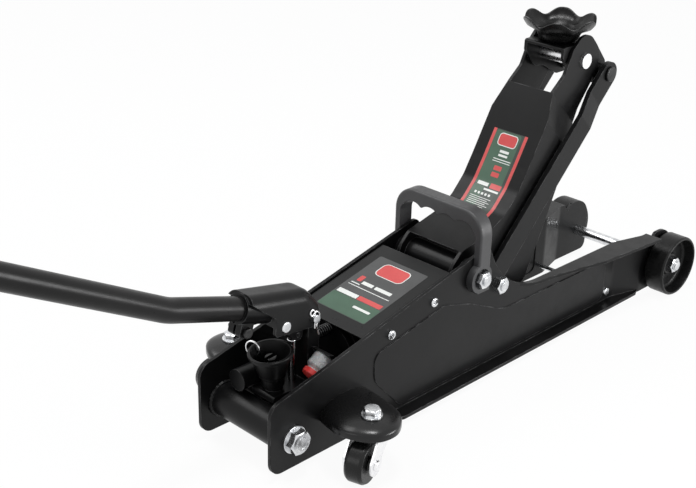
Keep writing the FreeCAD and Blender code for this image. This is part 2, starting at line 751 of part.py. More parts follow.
def make_carry_handle():
    """Moulded carry handle that stands over the plates, with four finger hollows."""
    body = new_body("carry_handle")
    inner, outer = "plate_outer", "grip_outer / 2"
    foot = "pivot_z - grip_foot_radius"
    under = "grip_top - grip_height"
    outline = [(f"0 - {outer}", foot), (f"0 - {outer}", "grip_top", "28"),
               (outer, "grip_top", "28"), (outer, foot), (inner, foot),
               (inner, f"{under} + 2", "13"), (f"0 - {inner}", f"{under} + 2", "13"),
               (f"0 - {inner}", foot)]
    pad(body, new_sketch(body, "YZ", [outline]), "grip_thickness", symmetric=True)
    cusp = "grip_scallop / 2"
    radius = f"(({cusp}) ^ 2 + 5 ^ 2) / (2 * 5)"
    hollows = [(f"{n} * {cusp}", f"{under} + 6 - {radius}", f"2 * {radius}") for n in (-3, 1)]
    others = [(f"{n} * {cusp}", f"{under} + 6 - {radius}", f"2 * {radius}") for n in (-1, 3)]
    pocket(body, new_sketch(body, "YZ", circles=hollows))
    pocket(body, new_sketch(body, "YZ", circles=others))
    boss = ("0 - 4", "pivot_z", "2 * grip_foot_radius")
    pad(body, new_sketch(body, "XZ", circles=[boss], offset=f"0 - {outer}"), f"{outer} - {inner}")
    pad(body, new_sketch(body, "XZ", circles=[boss], offset=inner), f"{outer} - {inner}")
    seat = ("0 - 4", "pivot_z", "pivot_nut_flats * 1.35")
    face = f"{inner} + grip_foot"
    pocket(body, new_sketch(body, "XZ", circles=[seat], offset=face), "30", backwards=True)
    pocket(body, new_sketch(body, "XZ", circles=[seat], offset=f"0 - ({face})"), "30")
    pocket(body, new_sketch(body, "XZ", circles=[("0 - 4", "pivot_z", "pivot_thread + 0.4")]))
    top = size("grip_top") - 25
    wide = size("grip_outer") / 2 - 1
    soften(body, lambda e: rounded_outside(e, top, wide), "3")
    return keep(place(body, "grip_center"))


def rounded_outside(edge, level, half):
    """Whether an edge belongs to the outside of the carry handle's arch."""
    box = edge.BoundBox
    across_y = box.XLength < 0.01 and box.ZMax > level
    far = max(abs(box.YMin), abs(box.YMax)) > half or box.ZMax > level + 24
    return across_y and far


make_cover()
both_plates("cover_screws", make_screw, [(x, "plate_outer", z) for x, z in SCREWS])
make_carry_handle()


# ---------------------------------------------------------------- pivots of arm and bars

def make_pivot_shaft():
    """Shaft through both plates that the lift arm turns on, with threaded ends."""
    body = new_body("arm_pivot_shaft")
    pad(body, new_sketch(body, "XZ", circles=[("0", "0", "pivot_shaft")]), "plate_gap",
        symmetric=True)
    pad(body, new_sketch(body, "XZ", circles=[("0", "0", "pivot_thread")]),
        "2 * (plate_outer + grip_foot + pivot_nut + 2)", symmetric=True)
    return keep(place(body, "pivot_x", "0", "pivot_z"))


make_pivot_shaft()
both_plates("arm_pivot_nuts",
            lambda n: hex_nut(n, "pivot_nut_flats", "pivot_nut", "pivot_thread + 2 * fit_gap"),
            [("pivot_x", "plate_outer + grip_foot", "pivot_z")])
both_plates("link_pivot_studs",
            lambda n: turned(n, [("0", "0"), ("12", "0", "0.5"), ("12", "2", "0.5"),
                                 ("saddle_pin / 2", "2"),
                                 ("saddle_pin / 2", "plate_inner - arm_half - 0.6"),
                                 ("pivot_thread / 2", "plate_inner - arm_half - 0.6"),
                                 ("pivot_thread / 2", "plate_outer - arm_half + pivot_nut + 1"),
                                 ("0", "plate_outer - arm_half + pivot_nut + 1")]),
            [("link_x", "arm_half + 0.6", "link_z")])
both_plates("link_pivot_nuts",
            lambda n: hex_nut(n, "pivot_nut_flats", "pivot_nut", "pivot_thread + 2 * fit_gap"),
            [("link_x", "plate_outer", "link_z")])


# ---------------------------------------------------------------- lift arm

ARM_TOP = [("13", "26", "12"), ("54", "0.4", "20"), ("83", "0 - 10", "30"), ("112", "0 - 9.6", "30"),
           ("140", "0 - 3.3", "30"), ("arm_length - 59.4", "20.4", "10")]


def arm_outline():
    """Side view of the lift arm in its own frame."""
    end = "arm_length + arm_tip_radius + 0.5"
    round_tip = "arm_tip_radius"
    return ARM_TOP + [
        ("arm_length - 34", "17.5", "10"), ("arm_length - 6", "arm_tip_radius + 0.5", "6"),
        (end, "arm_tip_radius + 0.5", f"{round_tip} - 6"),
        (end, "0 - arm_tip_radius - 0.5", f"{round_tip} - 1"),
        ("arm_length - 10", "0 - 34", "6"), ("arm_length - 43", "0 - 37.6", "20"),
        ("111", "0 - 89.5"), ("50", "0 - 110.5", "8"), ("16.6", "0 - 106", "6"),
        ("lever_s - 8", "lever_t - 20", "14"), ("lever_s - 18", "lever_t + 5", "12"),
        ("0 - arm_nose", "lever_t + 30", "16"), ("0 - arm_nose", "arm_nose", "arm_nose - 1")]


def arm_plan(side, start, end):
    """Plan of one side of the arm, narrower towards the saddle."""
    wide, narrow = f"{side} * arm_half", f"{side} * arm_tip_half"
    wall = f"{side} * arm_wall"
    turn = "arm_taper_start + arm_taper_run"
    return [(start, wide), ("arm_taper_start", wide), (turn, narrow), (end, narrow),
            (end, f"{narrow} - {wall}"), (turn, f"{narrow} - {wall}"),
            ("arm_taper_start", f"{wide} - {wall}"), (start, f"{wide} - {wall}")]


def make_arm():
    """Folded lift arm: two side walls under a bent top plate."""
    body = new_body("lift_arm")
    sides = [arm_plan(side, "0 - 80", "arm_length + 60") for side in ("1", "(0 - 1)")]
    pad(body, new_sketch(body, "XY", sides), "300", symmetric=True)
    frame = [("0 - 120", "0 - 200"), ("arm_length + 120", "0 - 200"),
             ("arm_length + 120", "200"), ("0 - 120", "200")]
    pocket(body, new_sketch(body, "XZ", [frame, arm_outline()]))
    under = [(x, f"{y} - arm_wall", *r) for x, y, *r in reversed(ARM_TOP)]
    top = [corner[:2] if i in (0, len(ARM_TOP) - 1) else corner
           for i, corner in enumerate(ARM_TOP)]
    below = [corner[:2] if i in (0, len(ARM_TOP) - 1) else corner
             for i, corner in enumerate(under)]
    pad(body, new_sketch(body, "XZ", [top + below]), "arm_width", symmetric=True)
    turn = "arm_taper_start + arm_taper_run"
    for side in ("1", "(0 - 1)"):
        spare = [("arm_taper_start", f"{side} * arm_half"), (turn, f"{side} * arm_tip_half"),
                 ("arm_length + 60", f"{side} * arm_tip_half"),
                 ("arm_length + 60", f"{side} * (arm_half + 10)"),
                 ("arm_taper_start", f"{side} * (arm_half + 10)")]
        pocket(body, new_sketch(body, "XY", [spare]))
    hub = new_sketch(body, "XZ", circles=[("0", "0", "arm_hub")])
    pad(body, hub, "plate_gap - 2 * seat_gap", symmetric=True)
    holes = [("0", "0", "pivot_shaft + 2 * fit_gap"), ("arm_length", "0", "saddle_pin"),
             ("lever_s", "lever_t", "12")]
    pocket(body, new_sketch(body, "XZ", circles=holes))
    return keep(on_arm(body))


make_arm()
across("lever_pin", "lever_x", "lever_z", "12", "arm_width")
across("ram_roller", "lever_x", "lever_z", "roller_diameter", "arm_width - 2 * arm_wall - 6", "12")
across("saddle_pivot_pin", "tip_x", "tip_z", "saddle_pin", "bar_tip_spread - 1.4")


# ---------------------------------------------------------------- parallel bars

def make_bar():
    """Right parallel bar, cranked inwards near the saddle."""
    body = new_body("link_bar_right")
    turn = "bar_joggle_start + bar_joggle_run"
    edge = "bar_width"
    plan = [(f"0 - {edge}", "0 - bar_inner"), ("bar_joggle_start", "0 - bar_inner", "12"),
            (turn, "0 - bar_tip_inner", "12"), (f"arm_length + {edge}", "0 - bar_tip_inner"),
            (f"arm_length + {edge}", "0 - bar_tip_inner - bar_wall"),
            (turn, "0 - bar_tip_inner - bar_wall", "12"),
            ("bar_joggle_start", "0 - bar_inner - bar_wall", "12"),
            (f"0 - {edge}", "0 - bar_inner - bar_wall")]
    pad(body, new_sketch(body, "XY", [plan]), "60", symmetric=True)
    half, turn_end = "bar_width / 2", "bar_width / 2 - 0.1"
    frame = [("0 - 60", "0 - 60"), ("arm_length + 60", "0 - 60"), ("arm_length + 60", "60"),
             ("0 - 60", "60")]
    outline = [(f"0 - {half}", f"0 - {half}", turn_end),
               (f"arm_length + {half}", f"0 - {half}", turn_end),
               (f"arm_length + {half}", half, turn_end), (f"0 - {half}", half, turn_end)]
    pocket(body, new_sketch(body, "XZ", [frame, outline]))
    holes = [("0", "0", "saddle_pin + 2 * fit_gap"), ("arm_length", "0", "link_pin + 2 * fit_gap")]
    pocket(body, new_sketch(body, "XZ", circles=holes))
    return keep(on_arm(body, "link_x", "link_z"))


keep(mirrored(make_bar(), "link_bar_left"))


# ---------------------------------------------------------------- saddle and its bracket

def make_bracket():
    """Bracket that stays level at the arm's end and carries the saddle."""
    body = new_body("saddle_bracket")
    outline = [("0 - bracket_rear", "bracket_top", "3"), ("24", "bracket_top", "6"),
               ("link_run + 11", "0 - 10", "9"), ("link_run + 12", "0 - link_drop - 12", "10"),
               ("link_run - 12", "0 - link_drop - 12", "9"), ("0", "0 - 18", "20"),
               ("0 - 19", "0 - 15", "11"), ("0 - bracket_rear", "7", "4")]
    pad(body, new_sketch(body, "XZ", [outline]), "2 * bracket_half", symmetric=True)
    inside = [("0 - bracket_rear - 5", "0 - 60"), ("link_run + 40", "0 - 60"),
              ("link_run + 40", "bracket_top - bracket_wall"),
              ("0 - bracket_rear - 5", "bracket_top - bracket_wall")]
    pocket(body, new_sketch(body, "XZ", [inside]), "2 * (bracket_half - bracket_wall)",
           symmetric=True)
    holes = [("0", "0", "saddle_pin + 2 * fit_gap"), ("link_run", "0 - link_drop", "link_pin")]
    pocket(body, new_sketch(body, "XZ", circles=holes))
    stem = ("0 - saddle_offset", "0", "saddle_stem + 2 * fit_gap")
    pocket(body, new_sketch(body, "XY", circles=[stem]))
    return keep(place(body, "tip_x", "0", "tip_z"))


def make_saddle():
    """Cast saddle dish on a short stem, its rim cut into six raised lugs."""
    body = new_body("saddle")
    base, rim, high = "saddle_base / 2", "saddle_rim / 2", "saddle_height"
    stem = "saddle_stem / 2"
    pin = "0 - bracket_wall - seat_gap - 6"
    turn_solid(body, new_sketch(body, "XZ", [[
        ("0", pin), (f"{stem} - 1", pin), (stem, f"{pin} + 1"), (stem, "0"),
        (f"{base} - 5", "0", "3"), (base, "10.5", "4"), (f"{rim} - 3", "18", "6"),
        (rim, f"{high} - 3", "1.5"), (f"{rim} - 1.5", high, "1"),
        (f"{rim} - saddle_wall", f"{high} - 1", "1"),
        (f"{rim} - saddle_wall - 3", "22", "6"), (f"{base} - saddle_wall - 6", "saddle_floor", "5"),
        ("0", "saddle_floor")]]))
    radius = "((saddle_scallop ^ 2 + 13 ^ 2) / (2 * saddle_scallop))"
    cut = ("0", f"{high} - saddle_scallop + {radius}", f"2 * {radius}")
    hollow = pocket(body, new_sketch(body, "XZ", circles=[cut]), "60", backwards=True)
    pattern = body.newObject("PartDesign::PolarPattern", "saddle_lugs")
    pattern.Originals = [hollow]
    pattern.Axis = (hollow.Profile[0], ["V_Axis"])
    pattern.Angle = 360
    pattern.Occurrences = 6
    body.Tip = pattern
    doc.recompute()
    return keep(place(body, "saddle_x", "0", "saddle_z", angle="saddle_turn"))


make_bracket()
link_half = "bar_tip_inner + bar_wall + seat_gap"
collar = ("bracket_half", "(bar_tip_inner - seat_gap)")
keep(place(rolled("link_pin", [
    (f"0 - {link_half.replace('+', '-')} - 3.4", "0"), (f"{link_half} + 3.4", "0"),
    (f"{link_half} + 3", "link_pin / 2 + 2", "1.2"), (link_half, "link_pin / 2 + 2", "0.5"),
    (link_half, "link_pin / 2"), (collar[1], "link_pin / 2"), (collar[1], "link_pin / 2 + 3"),
    (collar[0], "link_pin / 2 + 3"), (collar[0], "link_pin / 2"),
    (f"0 - {collar[0]}", "link_pin / 2"), (f"0 - {collar[0]}", "link_pin / 2 + 3"),
    (f"0 - {collar[1]}", "link_pin / 2 + 3"), (f"0 - {collar[1]}", "link_pin / 2"),
    (f"0 - ({link_half})", "link_pin / 2"),
    (f"0 - ({link_half})", "link_pin / 2 + 2", "0.5"),
    (f"0 - ({link_half}) - 3", "link_pin / 2 + 2", "1.2")]),
    "tip_x + link_run", "0", "tip_z - link_drop"))
make_saddle()
clip = ring("saddle_clip", "saddle_stem + 6", "saddle_stem", "2")
keep(place(clip, "saddle_x", "0", "saddle_z - 2 * seat_gap - bracket_wall - 2"))


# ---------------------------------------------------------------- hydraulic unit

def along(body, x, y, z):
    """Lay a piece drawn along Z on the jack so that it points forwards."""
    return place(body, x, y, z, axis=(0, 1, 0), angle="90")


def make_block():
    """Pump block between the plates, with the yoke's neck and the release valve's seat."""
    body = new_body("pump_block")
    start, end, top = "block_start", "block_end", "block_top"
    pad(body, new_sketch(body, "XZ", [[(start, "28", "4"), (start, top, "3"), (end, top, "6"),
                                       ("tank_start", "ram_z - 24"), ("tank_start", "34", "4"),
                                       (end, "28", "4")]]), "block_width", symmetric=True)
    pad(body, new_sketch(body, "XZ", [[(f"{start} + 10", "30"), (f"{start} + 10", "56"),
                                       (f"{end} - 8", "56"), (f"{end} - 8", "30")]]),
        "plate_gap", symmetric=True)
    pad(body, new_sketch(body, "XZ", [[("cup_x - 15", "tube_z + tube_diameter / 2 + 1"),
                                       ("cup_x - 15", top, "2"), (f"{start} + 6", top),
                                       (f"{start} + 6", "tube_z"), ("54", "tube_z"),
                                       ("54", "52", "4"),
                                       ("47", "tube_z + tube_diameter / 2 + 1")]]),
        "34", symmetric=True)
    back = "roller_x + pump_roller / 2 + 2"
    pad(body, new_sketch(body, "XZ", [[(back, f"{top} - 6"), (back, "yoke_z - 9", "2"),
                                       ("yoke_x - 8", "yoke_z - 5", "3"),
                                       ("yoke_x - 8", "yoke_z + 9", "7"),
                                       ("yoke_x + 12", "yoke_z + 10", "7"),
                                       ("yoke_x + 12", "98", "4"), (f"{end} - 2", f"{top} + 14", "10"),
                                       (f"{end} - 2", f"{top} - 6")]]), "30", symmetric=True)
    flange = [("0", "ram_z", "tank_diameter - 4")]
    pad(body, new_sketch(body, "YZ", circles=flange, offset="tank_start - 8"), "8")
    plug = [("27", f"{top} + 7", "24")]
    pad(body, new_sketch(body, "YZ", circles=plug, offset=f"{start} + 4"), "36", backwards=True)
    mouth = "cos(filler_tilt * 1deg)", "sin(filler_tilt * 1deg)"
    seat = [(f"filler_x + 14 * {mouth[1]}", f"{top} + 28 - 14 * {mouth[0]}"),
            (f"filler_x - 13 * {mouth[1]}", f"{top} + 28 + 13 * {mouth[0]}"),
            ("filler_x + 1", f"{top} + 36", "3"), ("filler_x + 16", f"{top} + 16", "8"),
            ("filler_x + 17", f"{top} - 2"), ("filler_x + 13", f"{top} - 2")]
    pad(body, new_sketch(body, "XZ", [seat], offset="filler_y - 13"), "26")
    gland = new_sketch(body, "XY", circles=[("0", "0", "20")])
    lean(gland)
    pad(body, gland, "4")
    holes = [("yoke_x", "yoke_z", "yoke_pin + 2 * fit_gap")]
    pocket(body, new_sketch(body, "XZ", circles=holes))
    spindle = new_sketch(body, "XY", circles=[("0", "0", "8 + 2 * fit_gap")])
    lean(spindle, "4")
    pocket(body, spindle, "26")
    bore = ("plunger_x", "0", "plunger_diameter + 2 * fit_gap")
    pocket(body, new_sketch(body, "XY", circles=[bore], offset=f"{top} + 30"), "90")
    return keep(place(body))


def lean(sketch, lift="0"):
    """Tilt a sketch backwards onto the axis of the release valve."""
    sketch.AttachmentOffset = FreeCAD.Placement(Vector(0, 0, 0), Rotation(Vector(0, -1, 0), 8))
    bind(sketch, "AttachmentOffset.Rotation.Angle", "cup_tilt")
    bind(sketch, "AttachmentOffset.Base.x", f"cup_x - ({lift}) * sin(cup_tilt * 1deg)")
    bind(sketch, "AttachmentOffset.Base.z", f"block_top + ({lift}) * cos(cup_tilt * 1deg)")


def make_spring():
    """Coil spring between the neck of the pump block and the flange of the tank."""
    body = new_body("pump_spring")
    wire = new_sketch(body, "XZ", circles=[("(spring_diameter - spring_wire) / 2", "0", "spring_wire")])
    coil = body.newObject("PartDesign::AdditiveHelix", "pump_spring_coil")
    coil.Profile = wire
    coil.ReferenceAxis = (wire, ["V_Axis"])
    coil.Mode = "pitch-height-angle"
    bind(coil, "Pitch", "spring_pitch")
    bind(coil, "Height", "tank_start - 8 - yoke_x - 12 - spring_wire - 2 * seat_gap")
    body.Tip = coil
    doc.recompute()
    return keep(along(body, "yoke_x + 12 + seat_gap + spring_wire / 2", "0", "spring_z"))


make_block()
make_spring()
tank = ring("reservoir_tank", "tank_diameter", "tank_diameter - 6", "tank_end - tank_start - 6")
keep(along(tank, "tank_start", "0", "ram_z"))
barrel = ring("ram_cylinder", "cylinder_diameter", "ram_diameter + 2 * fit_gap",
              "tank_end + gland_length - tank_start")
keep(along(barrel, "tank_start", "0", "ram_z"))
head = turned("tank_head", [("cylinder_diameter / 2", "0"), ("tank_diameter / 2", "0"),
                            ("tank_diameter / 2", "6", "1.5"), ("cylinder_diameter / 2", "6")])
keep(along(head, "tank_end - 6", "0", "ram_z"))
ram = turned("ram_rod", [("0", "ram_inside"), ("ram_diameter / 2", "ram_inside", "1"),
                         ("ram_diameter / 2", "pad_face_x - pad_thickness"),
                         ("ram_pad / 2", "pad_face_x - pad_thickness", "1"),
                         ("ram_pad / 2", "pad_face_x", "1.5"), ("0", "pad_face_x")])
keep(along(ram, "0", "0", "ram_z"))
plunger = turned("pump_plunger", [("0", "34"), ("plunger_diameter / 2", "34", "1"),
                                  ("plunger_diameter / 2", "head_z", "1.5"), ("0", "head_z")])
keep(place(plunger, "plunger_x"))


def on_filler(body):
    """Stand a piece on the slanted filler seat of the pump block."""
    return keep(place(body, "filler_x", "0 - filler_y", "block_top + 28",
                      axis=(0, -1, 0), angle="90 + filler_tilt"))


on_filler(turned("filler_cup", [("0", "0"), ("filler_diameter / 2", "0"),
                                ("filler_diameter / 2", "14", "2"),
                                ("filler_diameter / 2 - 3.3", "17", "1"),
                                ("filler_diameter / 2 - 3.3", "19"), ("0", "19")]))
on_filler(turned("filler_cap", [("0", "19"), ("filler_diameter / 2 - 1.2", "19", "0.5"),
                                ("filler_diameter / 2 - 1.2", "25", "1.5"), ("0", "25.5")]))


# ---------------------------------------------------------------- release valve

def on_valve(body):
    """Stand a piece on the leaning axis of the release valve."""
    return keep(place(body, "cup_x", "0", "block_top", axis=(0, -1, 0), angle="cup_tilt"))


def make_release_cup():
    """Cup on the valve spindle that guides the end of the handle."""
    rim, foot = "cup_rim / 2", "4 + seat_gap"
    return turned("release_cup", [
        ("0", "0 - 18"), ("4", "0 - 18", "0.5"), ("4", foot), ("12", foot, "1"),
        ("12.5", "14.5", "1"), ("14.5", "16", "1"), ("15", "19", "1"),
        (f"{rim} - 3", "cup_height - 5.5", "2"), (rim, "cup_height - 4", "1"),
        (rim, "cup_height", "1"), (f"{rim} - cup_wall", "cup_height", "1"),
        ("12", "20", "3"), ("0", "20")])


def make_release_fork():
    """Fork of the universal joint inside the cup."""
    body = turned("release_fork", [("0", "20"), ("6.5", "20"), ("6.5", "38", "1"), ("0", "38")])
    slot = [("0 - 9", "26"), ("9", "26"), ("9", "42"), ("0 - 9", "42")]
    pocket(body, new_sketch(body, "XZ", [slot]), "5", symmetric=True)
    pocket(body, new_sketch(body, "XZ", circles=[("0", "33", "4")]))
    return body


on_valve(make_release_cup())
on_valve(make_release_fork())


# ---------------------------------------------------------------- handle socket

def on_socket(body):
    """Set a piece in the sloping frame of the handle socket."""
    return keep(place(body, "socket_x", "0", "socket_z", axis=(0, 1, 0), angle="handle_angle"))


def make_socket():
    """Handle socket: round-backed yoke, barrel for the handle and split clamp."""
    body = new_body("handle_socket")
    rear, under = "0 - socket_rear", "0 - socket_outer / 2"
    back = "socket_outer / 2 + 0.6"
    outline = [(f"{rear} + 2", back), ("pin_u - 14", "pin_w + 29", "18"),
               ("pin_u + 2", "pin_w + 19.6"), ("pin_u + 7.5", "pin_w + 1.6", "6"),
               ("pin_u + 3.7", "pin_w - 9.2", "5"), ("drive_u - 11.4", "drive_w - 11", "4"),
               ("drive_u - 17", "drive_w + 9", "3"), (f"{rear} + 2", "9")]
    pad(body, new_sketch(body, "XZ", [outline]), "2 * socket_half", symmetric=True)
    ridge = size("socket_outer / 2")
    soften(body, lambda e: e.BoundBox.ZMin > ridge and e.BoundBox.YLength < 0.01
           and e.BoundBox.XLength > 40, "13")
    inside = "2 * (socket_half - yoke_wall)"
    web = "0 - yoke_wall"
    hollow = [(f"{rear} - 10", "0 - 60"), ("pin_u + 60", "0 - 60"), ("pin_u + 60", "pin_w + 6"),
              ("pin_u + 8", f"pin_w + 12 {web[1:]} + 2"), ("pin_u - 14", f"pin_w + 29 {web[1:]}"),
              ("socket_front + 1", f"{back} + 6 {web[1:]}"), ("socket_front + 1", under),
              (f"{rear} - 10", under)]
    pocket(body, new_sketch(body, "XZ", [hollow]), inside, symmetric=True)
    pad(body, new_sketch(body, "YZ", circles=[("0", "0", "socket_outer")], offset=rear),
        "socket_rear + socket_front")
    bridge = [("socket_front - 1", "0 - 15"), ("socket_front + 11", "0 - 15"),
              ("socket_front + 11", "2", "3"), ("socket_front - 1", "2")]
    pad(body, new_sketch(body, "XZ", [bridge]), f"{inside} + 1", symmetric=True)
    ears = [("socket_front + 1", "0 - 12"), ("socket_front + 11", "0 - 12"),
            ("cam_u + 6", "cam_w + 7", "4"), ("cam_u + 6", "cam_w - 6", "5.5"),
            ("cam_u - 6", "cam_w - 6", "5.5"), ("socket_front + 1", "0 - 22", "3")]
    pad(body, new_sketch(body, "XZ", [ears]), "20", symmetric=True)
    pocket(body, new_sketch(body, "XZ", circles=[("cam_u", "cam_w", "pump_roller + 3")]), "12.6",
           symmetric=True)
    lugs = [(f"{rear} + 3", "0 - 13"), (f"{rear} + 19", "0 - 13"),
            (f"{rear} + 19", "0 - 28", "4"), (f"{rear} + 3", "0 - 28", "4")]
    pad(body, new_sketch(body, "XZ", [lugs]), "18", symmetric=True)
    split = [(f"{rear} - 1", "0 - 30"), (f"{rear} + 21", "0 - 30"), (f"{rear} + 21", "0 - 5"),
             (f"{rear} - 1", "0 - 5")]
    pocket(body, new_sketch(body, "XZ", [split]), "3", symmetric=True)
    bore = ("0", "0", "handle_diameter + 2 * fit_gap")
    pocket(body, new_sketch(body, "YZ", circles=[bore], offset=f"{rear} - 5"),
           "socket_rear + socket_front + 5 - 2", backwards=True)
    holes = [("pin_u", "pin_w", "yoke_pin"), ("drive_u", "drive_w", "drive_pin"),
             ("cam_u", "cam_w", "5"), (f"{rear} + 11", "0 - 22", "6")]
    pocket(body, new_sketch(body, "XZ", circles=holes))
    return on_socket(body)


def make_yoke_pin():
    """Pin of the yoke with a cross hole for its cotter."""
    body = new_body("yoke_pivot_pin")
    pad(body, new_sketch(body, "XZ", circles=[("0", "0", "yoke_pin")]),
        "2 * (socket_half + 4.5)", symmetric=True)
    for side in ("socket_half + 1.3", "0 - socket_half - 1.3"):
        pocket(body, new_sketch(body, "XY", circles=[("0", side, "2")], offset="20"), "40")
    return keep(place(body, "yoke_x", "0", "yoke_z"))


make_socket()
make_yoke_pin()


def make_cotter(label):
    """Cotter through the yoke's pin, with its eye on top."""
    body = turned(label, [("0", "0 - 9"), ("0.9", "0 - 9"), ("0.9", "yoke_pin / 2 + 1"),
                          ("0", "yoke_pin / 2 + 1")])
    eye = new_sketch(body, "XZ", circles=[("0", "yoke_pin / 2 + 3.2", "6"),
                                          ("0", "yoke_pin / 2 + 3.2", "3")])
    pad(body, eye, "2", symmetric=True)
    return body


cotter = place(make_cotter("yoke_cotter_right"), "yoke_x", "0 - socket_half - 1.3", "yoke_z")
group("yoke_cotters", [cotter, mirrored(cotter, "yoke_cotter_left")])
keep(place(rolled("pump_roller", [
    ("0 - 10", "0"), ("10", "0"), ("10", "2.5", "0.4"), ("6", "2.5"),
    ("6", "pump_roller / 2", "0.6"), ("0 - 6", "pump_roller / 2", "0.6"), ("0 - 6", "2.5"),
    ("0 - 10", "2.5", "0.4")]), "roller_x", "0", "roller_z"))
both_plates("socket_studs", lambda n: turned(n, [("0", "0"), ("drive_pin / 2", "0"),
                                                 ("drive_pin / 2", "yoke_wall + 1.5", "1"),
                                                 ("0", "yoke_wall + 1.5")]),
            [("drive_x", "socket_half - yoke_wall", "drive_z")])
clamp_x = "socket_x - 9 * cos(handle_angle * 1deg) - 22 * sin(handle_angle * 1deg)"
clamp_z = "socket_z + 9 * sin(handle_angle * 1deg) - 22 * cos(handle_angle * 1deg)"
keep(outward(hex_bolt("socket_clamp_bolt", "10", "4.5", "6", "24"), clamp_x, "9", clamp_z))


# ---------------------------------------------------------------- handle

def make_lower_handle():
    """Lower handle tube: straight in the socket, then bent upwards."""
    body = new_body("handle_tube_lower")
    path = body.newObject("Sketcher::SketchObject", "handle_path")
    path.AttachmentSupport = (origin_plane(body, "XZ"), [""])
    path.MapMode = "FlatFace"
    bend, reach = "handle_bend * 1deg", "bend_tangent"
    stops = [("4 - socket_front", "0"), (f"handle_lower - {reach}", "0"),
             (f"handle_lower + {reach} * cos({bend})", f"0 - {reach} * sin({bend})"),
             (f"handle_lower + handle_split * cos({bend})", f"0 - handle_split * sin({bend})")]
    spots = [Vector(size(x), size(y), 0) for x, y in stops]
    for first, last in ((0, 1), (2, 3)):
        number = path.addGeometry(Part.LineSegment(spots[first], spots[last]))
        tie_point(path, number, 1, *stops[first])
        tie_point(path, number, 2, *stops[last])
    draw_corner(path, 0, 1, (spots[1], spots[2]), Vector(size("handle_lower"), 0, 0), "bend_radius")
    section = new_sketch(body, "YZ", circles=[("0", "0", "handle_diameter"),
                                              ("0", "0", "handle_inner")],
                         offset="4 - socket_front")
    pipe = body.newObject("PartDesign::AdditivePipe", "handle_sweep")
    pipe.Profile = section
    pipe.Spine = path
    doc.recompute()
    return keep(place(body, "socket_x", "0", "socket_z", axis=(0, -1, 0),
                      angle="180 - handle_angle"))


def on_upper(body):
    """Set a piece on the axis of the upper handle, drawn along Z from the bend."""
    return keep(place(body, "bend_x", "0", "bend_z", axis=(0, -1, 0), angle="90 - upper_angle"))


make_lower_handle()
on_upper(ring("handle_tube_upper", "handle_diameter", "handle_inner",
              "handle_upper + grip_length - 5 - handle_split", "handle_split"))
on_upper(ring("handle_sleeve", "handle_inner", "handle_inner - 4", "120", "handle_split - 60"))
end = "handle_upper + grip_length"
on_upper(turned("handle_grip", [
    ("handle_diameter / 2", "handle_upper"), ("grip_diameter / 2 + 2.5", "handle_upper", "1"),
    ("grip_diameter / 2 + 2.5", "handle_upper + 5", "1"),
    ("grip_diameter / 2", "handle_upper + 7", "1"), ("grip_diameter / 2", end, "grip_round"),
    ("0", end), ("0", f"{end} - 5"), ("handle_diameter / 2", f"{end} - 5")]))


# ---------------------------------------------------------------- rear casters

def make_caster_bracket():
    """Pressed bracket of the right caster: dome, web and flange on the plate."""
    body = new_body("caster_bracket_right")
    dome, top, wall = "dome_radius", "dome_top", "dome_wall"
    web = [("0 - 41", "caster_bay"), ("0 - 41", "caster_bay - 8", "5"), (f"0 - {dome} + 3", "4", "8"),
           (f"{dome} - 3", "4", "8"), ("45", "caster_bay - 8", "5"), ("45", "caster_bay")]
    pad(body, new_sketch(body, "XY", [web], offset=f"{top} - dome_depth + 0.5"), "3.5")
    flange = [("0 - 41", f"{top} - 28", "6"), ("45", f"{top} - 28", "6"),
              ("45", f"{top} - 3", "6"), ("0 - 41", f"{top} - 3", "6")]
    pad(body, new_sketch(body, "XZ", [flange], offset="0 - caster_bay"), "3")
    pocket(body, new_sketch(body, "XY", circles=[("0", "0", f"2 * ({dome} - 2)")]))
    turn_solid(body, new_sketch(body, "XZ", [[
        ("caster_bolt / 2", top), ("14", top, "4"), (f"{dome} - 5", f"{top} - 2.5", "5"),
        (dome, f"{top} - 7", "3"), (dome, f"{top} - dome_depth"),
        (f"{dome} - {wall}", f"{top} - dome_depth"), (f"{dome} - {wall}", f"{top} - 8", "1"),
        (f"{dome} - 7", f"{top} - 5.5", "3"), ("13", f"{top} - {wall}", "2"),
        ("caster_bolt / 2", f"{top} - {wall}")]]))
    return place(body, "caster_x", "0 - caster_y")


def make_fork():
    """Zinc plated swivelling fork of the right caster."""
    body = new_body("caster_fork_right")
    level, cheek = "caster_z", "fork_cheek"
    outline = [("0 - 13", "fork_top", "2"), ("13", "fork_top", "2"),
               (f"caster_trail + {cheek}", f"{level} + 5", "9"),
               (f"caster_trail + {cheek}", f"{level} - {cheek}", f"{cheek} - 1"),
               (f"caster_trail - {cheek}", f"{level} - {cheek}", f"{cheek} - 1"),
               (f"caster_trail - {cheek}", f"{level} + 4", "8"), ("0 - 13", "fork_top - 8", "4")]
    pad(body, new_sketch(body, "XZ", [outline]), "fork_width", symmetric=True)
    inside = [("0 - 40", "0 - 10"), ("60", "0 - 10"), ("60", "fork_top - fork_wall"),
              ("0 - 40", "fork_top - fork_wall")]
    pocket(body, new_sketch(body, "XZ", [inside]), "fork_width - 2 * fork_wall", symmetric=True)
    pocket(body, new_sketch(body, "XZ", circles=[("caster_trail", level, "caster_axle")]))
    pocket(body, new_sketch(body, "XY", circles=[("0", "0", "caster_bolt + 2 * fit_gap")],
                            offset="80"), "40")
    return place(body, "caster_x", "0 - caster_y", "0", axis=(0, 0, -1), angle="180 - caster_turn")


def on_caster_axle(body):
    """Set a round piece on the axle of the right caster."""
    reach = "caster_trail * cos(caster_turn * 1deg)"
    side = "caster_trail * sin(caster_turn * 1deg)"
    return place(body, f"caster_x - {reach}", f"0 - caster_y - {side}", "caster_z",
                 axis=(0, 0, -1), angle="180 - caster_turn")


